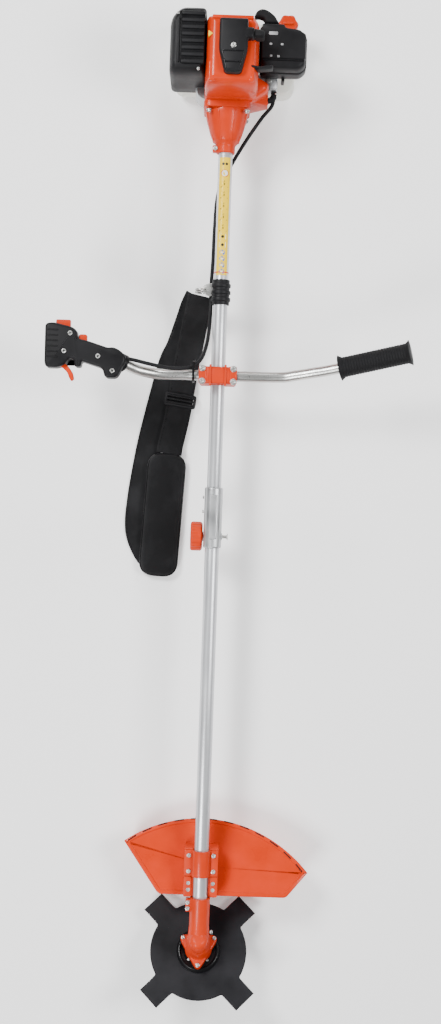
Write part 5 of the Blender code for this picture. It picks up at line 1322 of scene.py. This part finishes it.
def build_throttle():
    """Two half shells with a parting line, switch, button, trigger and ribs."""
    outline = fillet(THROTTLE_OUTLINE, 7 * MM, 5)
    front = slab("throttle_front_finish", outline, 189.15 * MM, 207 * MM, "black_moulded",
                 "machine", edge=0.4 * MM, top=5.5 * MM, steps=7)
    rear = slab("throttle_rear_finish", outline, 171 * MM, 188.85 * MM, "black_moulded",
                "machine", edge=5 * MM, top=0.4 * MM, steps=7)
    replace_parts(front, "throttle_housing_front")
    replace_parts(rear, "throttle_housing_rear")
    trigger = np.array([(-283.3, -585.2), (-284.5, -579.5), (-279, -576.5), (-273, -578.5),
                        (-264, -586.5), (-256.5, -597), (-253.8, -608), (-258.8, -612),
                        (-262.5, -606), (-266.5, -596.5), (-274, -589)]) * MM
    lever = slab("throttle_trigger_finish", fillet(trigger, 2.5 * MM, 4), 183 * MM, 195 * MM,
                 "orange_gloss", "trigger", edge=2 * MM)
    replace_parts(lever, "throttle_trigger")
    switch = slab("stop_switch_finish", rectangle((-289 * MM, -263 * MM),
                                                  (-516 * MM, -503 * MM), 2.5 * MM),
                  183 * MM, 195 * MM, "orange_gloss", "stop_switch", edge=1.5 * MM)
    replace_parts(switch, "stop_switch")
    for i in range(3):
        x = (-282 + 6 * i) * MM
        rod(f"stop_switch_rib_{i}", 0.9 * MM, (x, -503.6 * MM, 184.5 * MM),
            (x, -503.6 * MM, 193.5 * MM), "orange_gloss", "stop_switch", 0.3 * MM, 12)
    button = slab("lock_button_finish", rectangle((-248 * MM, -233 * MM),
                                                  (-545 * MM, -528 * MM), 4 * MM), 183 * MM,
                  195 * MM, "orange_gloss", "lock_button", edge=2 * MM)
    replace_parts(button, "lock_button")
    for i in range(6):
        y = (-523 - 9.5 * i) * MM
        slab(f"throttle_grip_rib_{i}", rectangle((-303 * MM, -283 * MM),
                                                 (y - 1.4 * MM, y + 1.4 * MM), 1.2 * MM),
             205 * MM, 207.9 * MM, "black_rubber", "machine", edge=0.3 * MM, top=1 * MM)
    for i, (x, y) in enumerate(((-272, -560), (-212, -567), (-186, -592), (-262, -528))):
        lathe(f"throttle_screw_{i}", [(0, 0), (4 * MM, 0), (4 * MM, 1 * MM), (2.6 * MM, 1 * MM),
                                      (2.4 * MM, 0.3 * MM), (0, 0.3 * MM)],
              (x * MM, y * MM, 206.7 * MM), Z_AXIS, "zinc", "machine", 0.3 * MM, 28)
    collar = np.array((-178, -571, 179)) * MM
    lathe("throttle_collar", [(9.9 * MM, 0), (15.5 * MM, 0), (15.5 * MM, 15 * MM),
                              (9.9 * MM, 15 * MM)],
          collar, LEFT_ROUTE[1] - LEFT_ROUTE[0], "black_moulded", "machine", 2 * MM)


CABLE_ROUTE = np.array([
    (83, -66.4, 120), (82, -90, 118), (64.4, -111.4, 110), (40.1, -146.2, 100),
    (21, -177.6, 95), (9, -199.5, 93), (-4.8, -227.6, 93), (-12.8, -261.9, 97),
    (-15.4, -318.1, 101), (-16.3, -373.6, 101), (-18, -418.1, 99), (-17.5, -464.6, 101),
    (-19, -502.6, 113), (-22.5, -531.9, 130), (-29, -556, 149), (-39.5, -570, 156.5),
    (-54, -577.5, 159.5), (-86, -579.5, 162.5), (-121.8, -574, 168), (-145, -569.5, 174),
    (-160.8, -567, 179)]) * MM


def build_cable():
    """Ribbed conduit along the boom, tied once to the handlebar."""
    path = curve_through(CABLE_ROUTE, 700)
    wave = 1 - 0.07 * (0.5 + 0.5 * np.cos(np.arange(700) * 1.6))
    conduit = sweep("throttle_conduit_finish", path, circle(3.6 * MM, 18), "black_moulded",
                    "machine", wave)
    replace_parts(conduit, "throttle_cable_conduit")
    angle = np.linspace(0, 2 * math.pi, 40, endpoint=False)
    place = basis(np.array((-44, -582, 148.5)) * MM, X_AXIS, Z_AXIS)
    reach = 19.6 * MM
    loop = placed(np.column_stack([reach * np.cos(angle), reach * np.sin(angle),
                                   np.zeros(40)]), place)
    grid = np.stack([loop + X_AXIS * a * MM + (loop - place[:, 3]) * s for a, s in
                     ((-2, 0), (2, 0), (2, 0.07), (-2, 0.07))])
    surface("cable_tie", grid, "black_gloss", "machine", close_v=True, caps=False)


# ------------------------------------------------------------ hanger and harness
def build_hanger():
    """Ribbed black clamp, its eye lug, the spring hook and the gate."""
    profile = [(13.3 * MM, 0), (16 * MM, 0), (16 * MM, 6 * MM)]
    for i in range(3):
        start = (7 + 12.5 * i) * MM
        profile += [(18 * MM, start), (18 * MM, start + 6 * MM), (16 * MM, start + 6.6 * MM),
                    (16 * MM, start + 12 * MM)]
    profile += [(16 * MM, 45.5 * MM), (13.3 * MM, 45.5 * MM)]
    sleeve = lathe("hanger_clamp_finish", profile, boom_at(-457 * MM), Y_AXIS, "black_moulded",
                   "machine", 0.7 * MM)
    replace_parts(sleeve, "hanger_clamp")
    eye = fillet(np.array([(-15, -442), (-26, -440.5), (-34.5, -434), (-34.5, -425),
                           (-26, -418.5), (-15, -417)]) * MM, 5 * MM, 4)
    slab("hanger_eye_lug", eye, 113 * MM, 117 * MM, "zinc", "machine", edge=0.8 * MM)
    centre = np.array((-36, -429.8, 115)) * MM
    a = np.linspace(math.radians(207), math.radians(207 + 306), 44)
    hook = centre + 9 * MM * np.column_stack([np.cos(a), np.zeros(44), np.sin(a)])
    body = sweep("snap_hook_finish", hook, circle(2.1 * MM, 20), "zinc", "machine")
    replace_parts(body, "snap_hook")
    rod("snap_hook_stem", 3.2 * MM, centre + (0, 0, -0.0095), centre + (0, 0, -0.019), "zinc",
        "machine", 1 * MM)
    loop = np.linspace(0, 2 * math.pi, 48, endpoint=False)
    ring = centre + np.array((0, 0, -0.0285)) + 10 * MM * np.column_stack(
        [np.cos(loop), np.zeros(48), np.sin(loop)])
    ring_wire("snap_hook_belt_ring", ring, 2 * MM, "zinc", "machine")
    gate = rod("snap_hook_gate_finish", 1.6 * MM, (-45 * MM, -429.8 * MM, 110.6 * MM),
               (-45 * MM, -429.8 * MM, 119.4 * MM), "zinc", "hook_gate")
    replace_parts(gate, "snap_hook_gate")


LONG_ROUTE = np.array([(-43, -437, 68), (-51, -452, 50), (-62, -482, 24), (-77, -524, 6),
                       (-92, -560, 2), (-115.5, -661, 2), (-128.6, -725, 2),
                       (-141.6, -816, 2), (-143, -874, 2), (-126, -915, 2),
                       (-105, -935, 2)]) * MM
SHORT_ROUTE = np.array([(-36, -436, 80), (-40, -455, 66), (-47, -486, 44), (-54, -524, 23),
                        (-61, -560, 13), (-74, -652, 12), (-85, -706, 13),
                        (-88, -727, 14)]) * MM
BAND_WIDTH = 48 * MM
BAND_T = 2.5 * MM
PAD_ENDS = (np.array((-90.4, -729, 14)) * MM, np.array((-102.5, -957, 14)) * MM)
PAD_WIDTH = 68 * MM


def band(name, route, look, width, thickness, body="machine", count=120, taper=None):
    """A flat band along a route, edges rounded, with a weave UV map."""
    path = curve_through(route, count)
    half = width / 2
    section = fillet([(-half, -thickness / 2), (half, -thickness / 2), (half, thickness / 2),
                      (-half, thickness / 2)], 0.45 * thickness, 3)
    extra = np.linspace(-half * 0.96, half * 0.96, 9)
    low = section[section[:, 1] < 0]
    high = section[section[:, 1] >= 0]
    low = low[np.argsort(low[:, 0])]
    high = high[np.argsort(-high[:, 0])]
    middle_low = np.column_stack([extra, np.full(9, -thickness / 2)])
    middle_high = np.column_stack([extra[::-1], np.full(9, thickness / 2)])
    bottom = np.vstack([low[low[:, 0] < -half * 0.97], middle_low, low[low[:, 0] > half * 0.97]])
    top = np.vstack([high[high[:, 0] > half * 0.97], middle_high,
                     high[high[:, 0] < -half * 0.97]])
    section = np.vstack([bottom, top])
    obj = sweep(name, path, section, look, body, taper)
    run = np.concatenate([[0], np.cumsum(np.linalg.norm(np.diff(path, axis=0), axis=1))])
    layer = obj.data.uv_layers.new(name="UVMap")
    _, side, _ = frames_along(path)
    points = np.empty(len(obj.data.vertices) * 3)
    obj.data.vertices.foreach_get("co", points)
    points = points.reshape(-1, 3)
    nearest = np.argmin(((points[:, None] - path[None]) ** 2).sum(axis=2), axis=1)
    across = ((points - path[nearest]) * side[nearest]).sum(axis=1)
    uv = np.column_stack([across / width + 0.5, run[nearest] / run[-1]])
    loops = np.empty(len(obj.data.loops), dtype=np.int32)
    obj.data.loops.foreach_get("vertex_index", loops)
    layer.data.foreach_set("uv", uv[loops].ravel())
    return obj


def stitches(name, route, offset, lift, body="machine", spacing=6 * MM):
    """A row of short thread dashes beside a route."""
    path = curve_through(route, 400)
    _, side, up = frames_along(path)
    run = np.concatenate([[0], np.cumsum(np.linalg.norm(np.diff(path, axis=0), axis=1))])
    line = path + side * offset + up * lift
    starts = np.arange(run[0] + 4 * MM, run[-1] - 4 * MM, spacing)
    rings = []
    for s in starts:
        at = np.array([[np.interp(s + d * spacing, run, line[:, k]) for k in range(3)]
                       for d in np.linspace(0, 0.62, 5)])
        rings.append(at)
    mesh = bpy.data.meshes.new(name)
    verts, faces = [], []
    for at in rings:
        tangent = at[-1] - at[0]
        tangent /= np.linalg.norm(tangent)
        across = np.cross(Z_AXIS, tangent)
        across /= np.linalg.norm(across)
        over = np.cross(tangent, across)
        base = len(verts)
        for k, point in enumerate(at):
            r = 0.42 * MM * (0.55 if k in (0, 4) else 1)
            for q in range(6):
                a = math.pi / 3 * q
                verts.append(tuple(point + r * (math.cos(a) * across + math.sin(a) * over)))
        for k in range(4):
            for q in range(6):
                a, b = base + 6 * k + q, base + 6 * k + (q + 1) % 6
                faces.append((a, b, b + 6, a + 6))
        faces.append(tuple(base + q for q in range(5, -1, -1)))
        faces.append(tuple(base + 24 + q for q in range(6)))
    mesh.from_pydata(verts, [], faces)
    return finished(name, mesh, "black_gloss", body, weld=False)


def build_straps(spacing):
    """Two webbing bands with stitched edges and a buckle."""
    long_band = band("strap_long_finish", LONG_ROUTE, "webbing_black", BAND_WIDTH, BAND_T)
    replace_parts(long_band, "strap_long_band")
    short_band = band("strap_front_finish", SHORT_ROUTE, "webbing_black", BAND_WIDTH, BAND_T)
    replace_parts(short_band, "strap_front_band")
    for i, offset in enumerate((-20 * MM, 20 * MM)):
        stitches(f"strap_long_stitches_{i}", LONG_ROUTE, offset, BAND_T / 2 + 0.1 * MM,
                 spacing=spacing)
        stitches(f"strap_front_stitches_{i}", SHORT_ROUTE, offset, BAND_T / 2 + 0.1 * MM,
                 spacing=spacing)
    place = Matrix.Translation((-70 * MM, -625 * MM, 12.1 * MM)) @ Matrix.Rotation(
        math.radians(-8), 4, "Z")
    turn = np.array(place)[:3, :]
    outer = rectangle((-30 * MM, 30 * MM), (-13 * MM, 13 * MM), 6 * MM, 6)
    rows = []
    for inset, z in ((1.5, -4.5), (0.3, -3.6), (0, -2), (0, 2), (0.5, 3.6), (1.8, 4.5),
                     (4.2, 4.5), (5.2, 3.6), (5.4, 2), (5.4, -2), (5.2, -3.6), (4.2, -4.5)):
        rows.append(np.column_stack([inward(outer, inset * MM), np.full(len(outer), z * MM)]))
    frame_piece = surface("strap_buckle_finish", placed(np.array(rows), turn), "black_moulded",
                          "machine", close_v=True, caps=False)
    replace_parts(frame_piece, "strap_buckle")
    for i, y in enumerate((-6.5, 0, 6.5)):
        slab(f"buckle_bar_{i}", rectangle((-26 * MM, 26 * MM), ((y - 1.7) * MM, (y + 1.7) * MM),
                                          1.4 * MM), 1.6 * MM, 5.6 * MM, "black_moulded",
             "machine", turn, edge=1.2 * MM)


def build_pad(fill):
    """Shoulder pad: a rounded cushion, seamed round its edge."""
    start, end = PAD_ENDS
    along = end - start
    length = np.linalg.norm(along)
    along /= length
    side = np.cross(Z_AXIS, along)
    outline = rectangle((-PAD_WIDTH / 2, PAD_WIDTH / 2), (0, length), 26 * MM, 9)
    t = np.linspace(-1, 1, 15)
    height = 7.5 * MM * fill / 0.6
    rows = []
    for value in t:
        inset = 6 * MM * abs(value) ** 3
        rows.append(np.column_stack([inward(outline, inset), height * value * np.ones(
            len(outline))]))
    place = np.column_stack([side, along, Z_AXIS, start])
    grid = np.array(rows)
    centre = outline.mean(axis=0)
    crown = []
    for k in range(1, 10):
        shrink = 1 - k / 10
        ring = centre + (inward(outline, 6 * MM) - centre) * shrink
        crown.append(np.column_stack([ring, (height + 1.3 * MM * (1 - shrink ** 2))
                                      * np.ones(len(outline))]))
    floor = [np.column_stack([c[:, :2], -height * np.ones(len(outline))]) for c in crown[::-1]]
    grid = np.concatenate([np.array(floor), grid, np.array(crown)])
    pad = surface("shoulder_pad_finish", placed(grid, place), "pad_mesh", "machine")
    layer = pad.data.uv_layers.new(name="UVMap")
    points = np.empty(len(pad.data.vertices) * 3)
    pad.data.vertices.foreach_get("co", points)
    local = points.reshape(-1, 3) - start
    uv = np.column_stack([local @ side / PAD_WIDTH + 0.5, local @ along / length])
    loops = np.empty(len(pad.data.loops), dtype=np.int32)
    pad.data.loops.foreach_get("vertex_index", loops)
    layer.data.foreach_set("uv", uv[loops].ravel())
    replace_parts(pad, "shoulder_pad")
    edge = inward(outline, -0.6 * MM)
    seam = placed(np.column_stack([edge, np.zeros(len(edge))]), place)
    ring_wire("shoulder_pad_piping", seam, 2.2 * MM, "black_gloss", "machine", 10)
    return pad


class BRUSHCUTTER_OT_stage(bpy.types.Operator):
    """Builds the floor, lights and camera."""
    bl_idname = "brush_cutter.stage"
    bl_label = "Stage"
    bl_options = {"REGISTER", "UNDO"}

    def execute(self, context):
        build_stage(context.scene.brush_cutter_sizes.lens)
        return {"FINISHED"}


class BRUSHCUTTER_OT_materials(bpy.types.Operator):
    """Makes every material and gives each CAD solid its own."""
    bl_idname = "brush_cutter.materials"
    bl_label = "Materials"
    bl_options = {"REGISTER", "UNDO"}

    def execute(self, context):
        make_materials(context.scene.brush_cutter_colours)
        dress_cad_nodes()
        return {"FINISHED"}


class BRUSHCUTTER_OT_boom(bpy.types.Operator):
    """Builds both boom tubes."""
    bl_idname = "brush_cutter.boom"
    bl_label = "Boom"
    bl_options = {"REGISTER", "UNDO"}

    def execute(self, context):
        build_boom()
        return {"FINISHED"}


class BRUSHCUTTER_OT_label(bpy.types.Operator):
    """Builds the pictogram label on the boom."""
    bl_idname = "brush_cutter.label"
    bl_label = "Label"
    bl_options = {"REGISTER", "UNDO"}

    def execute(self, context):
        build_label()
        return {"FINISHED"}


class BRUSHCUTTER_OT_coupler(bpy.types.Operator):
    """Builds the coupler, its knob and pull pin."""
    bl_idname = "brush_cutter.coupler"
    bl_label = "Coupler"
    bl_options = {"REGISTER", "UNDO"}

    def execute(self, context):
        build_coupler()
        return {"FINISHED"}


class BRUSHCUTTER_OT_gear_case(bpy.types.Operator):
    """Builds the angled gear case."""
    bl_idname = "brush_cutter.gear_case"
    bl_label = "Gear case"
    bl_options = {"REGISTER", "UNDO"}

    def execute(self, context):
        build_gear_case()
        return {"FINISHED"}


class BRUSHCUTTER_OT_blade(bpy.types.Operator):
    """Builds the blade, holder and nut."""
    bl_idname = "brush_cutter.blade"
    bl_label = "Blade"
    bl_options = {"REGISTER", "UNDO"}

    def execute(self, context):
        build_blade()
        return {"FINISHED"}


class BRUSHCUTTER_OT_guard(bpy.types.Operator):
    """Builds the guard and its line cutter."""
    bl_idname = "brush_cutter.guard"
    bl_label = "Guard"
    bl_options = {"REGISTER", "UNDO"}

    def execute(self, context):
        build_guard()
        return {"FINISHED"}


class BRUSHCUTTER_OT_bracket(bpy.types.Operator):
    """Builds the guard's clamp and channel."""
    bl_idname = "brush_cutter.bracket"
    bl_label = "Guard bracket"
    bl_options = {"REGISTER", "UNDO"}

    def execute(self, context):
        build_guard_bracket()
        return {"FINISHED"}


class BRUSHCUTTER_OT_engine(bpy.types.Operator):
    """Builds the crankcase, cylinder and intake."""
    bl_idname = "brush_cutter.engine"
    bl_label = "Engine"
    bl_options = {"REGISTER", "UNDO"}

    def execute(self, context):
        build_engine_core()
        return {"FINISHED"}


class BRUSHCUTTER_OT_clutch(bpy.types.Operator):
    """Builds the ribbed clutch housing."""
    bl_idname = "brush_cutter.clutch"
    bl_label = "Clutch housing"
    bl_options = {"REGISTER", "UNDO"}

    def execute(self, context):
        build_clutch_housing()
        return {"FINISHED"}


class BRUSHCUTTER_OT_covers(bpy.types.Operator):
    """Builds the orange covers, the black plug cover and its side arm."""
    bl_idname = "brush_cutter.covers"
    bl_label = "Covers"
    bl_options = {"REGISTER", "UNDO"}

    def execute(self, context):
        build_covers()
        return {"FINISHED"}


class BRUSHCUTTER_OT_muffler(bpy.types.Operator):
    """Builds the louvred muffler guard."""
    bl_idname = "brush_cutter.muffler"
    bl_label = "Muffler guard"
    bl_options = {"REGISTER", "UNDO"}

    def execute(self, context):
        build_muffler_guard()
        return {"FINISHED"}


class BRUSHCUTTER_OT_air_filter(bpy.types.Operator):
    """Builds the filter box and choke lever."""
    bl_idname = "brush_cutter.air_filter"
    bl_label = "Air filter"
    bl_options = {"REGISTER", "UNDO"}

    def execute(self, context):
        build_air_filter()
        return {"FINISHED"}


class BRUSHCUTTER_OT_tank(bpy.types.Operator):
    """Builds the tank, cap and foot."""
    bl_idname = "brush_cutter.tank"
    bl_label = "Fuel tank"
    bl_options = {"REGISTER", "UNDO"}

    def execute(self, context):
        build_tank()
        return {"FINISHED"}


class BRUSHCUTTER_OT_starter(bpy.types.Operator):
    """Builds the pull handle and housing vents."""
    bl_idname = "brush_cutter.starter"
    bl_label = "Starter"
    bl_options = {"REGISTER", "UNDO"}

    def execute(self, context):
        build_starter()
        return {"FINISHED"}


class BRUSHCUTTER_OT_handlebar(bpy.types.Operator):
    """Builds the bar and the right grip."""
    bl_idname = "brush_cutter.handlebar"
    bl_label = "Handlebar"
    bl_options = {"REGISTER", "UNDO"}

    def execute(self, context):
        build_handlebar(context.scene.brush_cutter_sizes.grip_grooves)
        return {"FINISHED"}


class BRUSHCUTTER_OT_bar_clamp(bpy.types.Operator):
    """Builds the clamp and its bolts."""
    bl_idname = "brush_cutter.bar_clamp"
    bl_label = "Handlebar clamp"
    bl_options = {"REGISTER", "UNDO"}

    def execute(self, context):
        build_bar_clamp()
        return {"FINISHED"}


class BRUSHCUTTER_OT_throttle(bpy.types.Operator):
    """Builds the throttle handle and its controls."""
    bl_idname = "brush_cutter.throttle"
    bl_label = "Throttle handle"
    bl_options = {"REGISTER", "UNDO"}

    def execute(self, context):
        build_throttle()
        return {"FINISHED"}


class BRUSHCUTTER_OT_cable(bpy.types.Operator):
    """Builds the conduit and its tie."""
    bl_idname = "brush_cutter.cable"
    bl_label = "Throttle cable"
    bl_options = {"REGISTER", "UNDO"}

    def execute(self, context):
        build_cable()
        return {"FINISHED"}


class BRUSHCUTTER_OT_hanger(bpy.types.Operator):
    """Builds the hanger clamp and spring hook."""
    bl_idname = "brush_cutter.hanger"
    bl_label = "Hanger"
    bl_options = {"REGISTER", "UNDO"}

    def execute(self, context):
        build_hanger()
        return {"FINISHED"}


class BRUSHCUTTER_OT_straps(bpy.types.Operator):
    """Builds the webbing and buckle."""
    bl_idname = "brush_cutter.straps"
    bl_label = "Straps"
    bl_options = {"REGISTER", "UNDO"}

    def execute(self, context):
        build_straps(context.scene.brush_cutter_sizes.stitch_pitch)
        return {"FINISHED"}


class BRUSHCUTTER_OT_pad(bpy.types.Operator):
    """Builds the shoulder pad."""
    bl_idname = "brush_cutter.pad"
    bl_label = "Shoulder pad"
    bl_options = {"REGISTER", "UNDO"}

    def execute(self, context):
        build_pad(context.scene.brush_cutter_sizes.pad_fill)
        return {"FINISHED"}


OPERATORS = (
    BRUSHCUTTER_OT_stage,
    BRUSHCUTTER_OT_materials,
    BRUSHCUTTER_OT_boom,
    BRUSHCUTTER_OT_label,
    BRUSHCUTTER_OT_coupler,
    BRUSHCUTTER_OT_gear_case,
    BRUSHCUTTER_OT_blade,
    BRUSHCUTTER_OT_guard,
    BRUSHCUTTER_OT_bracket,
    BRUSHCUTTER_OT_engine,
    BRUSHCUTTER_OT_clutch,
    BRUSHCUTTER_OT_covers,
    BRUSHCUTTER_OT_muffler,
    BRUSHCUTTER_OT_air_filter,
    BRUSHCUTTER_OT_tank,
    BRUSHCUTTER_OT_starter,
    BRUSHCUTTER_OT_handlebar,
    BRUSHCUTTER_OT_bar_clamp,
    BRUSHCUTTER_OT_throttle,
    BRUSHCUTTER_OT_cable,
    BRUSHCUTTER_OT_hanger,
    BRUSHCUTTER_OT_straps,
    BRUSHCUTTER_OT_pad,
)


class BRUSHCUTTER_PT_panel(bpy.types.Panel):
    """Lists the builder's steps in the sidebar."""
    bl_label = "Brush Cutter"
    bl_space_type = "VIEW_3D"
    bl_region_type = "UI"
    bl_category = "Brush Cutter"

    def draw(self, context):
        for group in (context.scene.brush_cutter_sizes, context.scene.brush_cutter_colours):
            for key in group.__annotations__:
                self.layout.prop(group, key)
        for step in OPERATORS:
            self.layout.operator(step.bl_idname)


CLASSES = (BrushCutterSizes, BrushCutterColours, *OPERATORS, BRUSHCUTTER_PT_panel)


def register():
    """Registers the classes and hangs the two groups on the scene."""
    for cls in CLASSES:
        bpy.utils.register_class(cls)
    bpy.types.Scene.brush_cutter_sizes = PointerProperty(type=BrushCutterSizes)
    bpy.types.Scene.brush_cutter_colours = PointerProperty(type=BrushCutterColours)


def unregister():
    """Takes both groups and every class off again."""
    del bpy.types.Scene.brush_cutter_colours
    del bpy.types.Scene.brush_cutter_sizes
    for cls in reversed(CLASSES):
        bpy.utils.unregister_class(cls)


def main():
    """Registers the add-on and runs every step."""
    register()
    for step in OPERATORS:
        getattr(bpy.ops.brush_cutter, step.bl_idname.split(".")[1])()


if __name__ == "__main__":
    main()
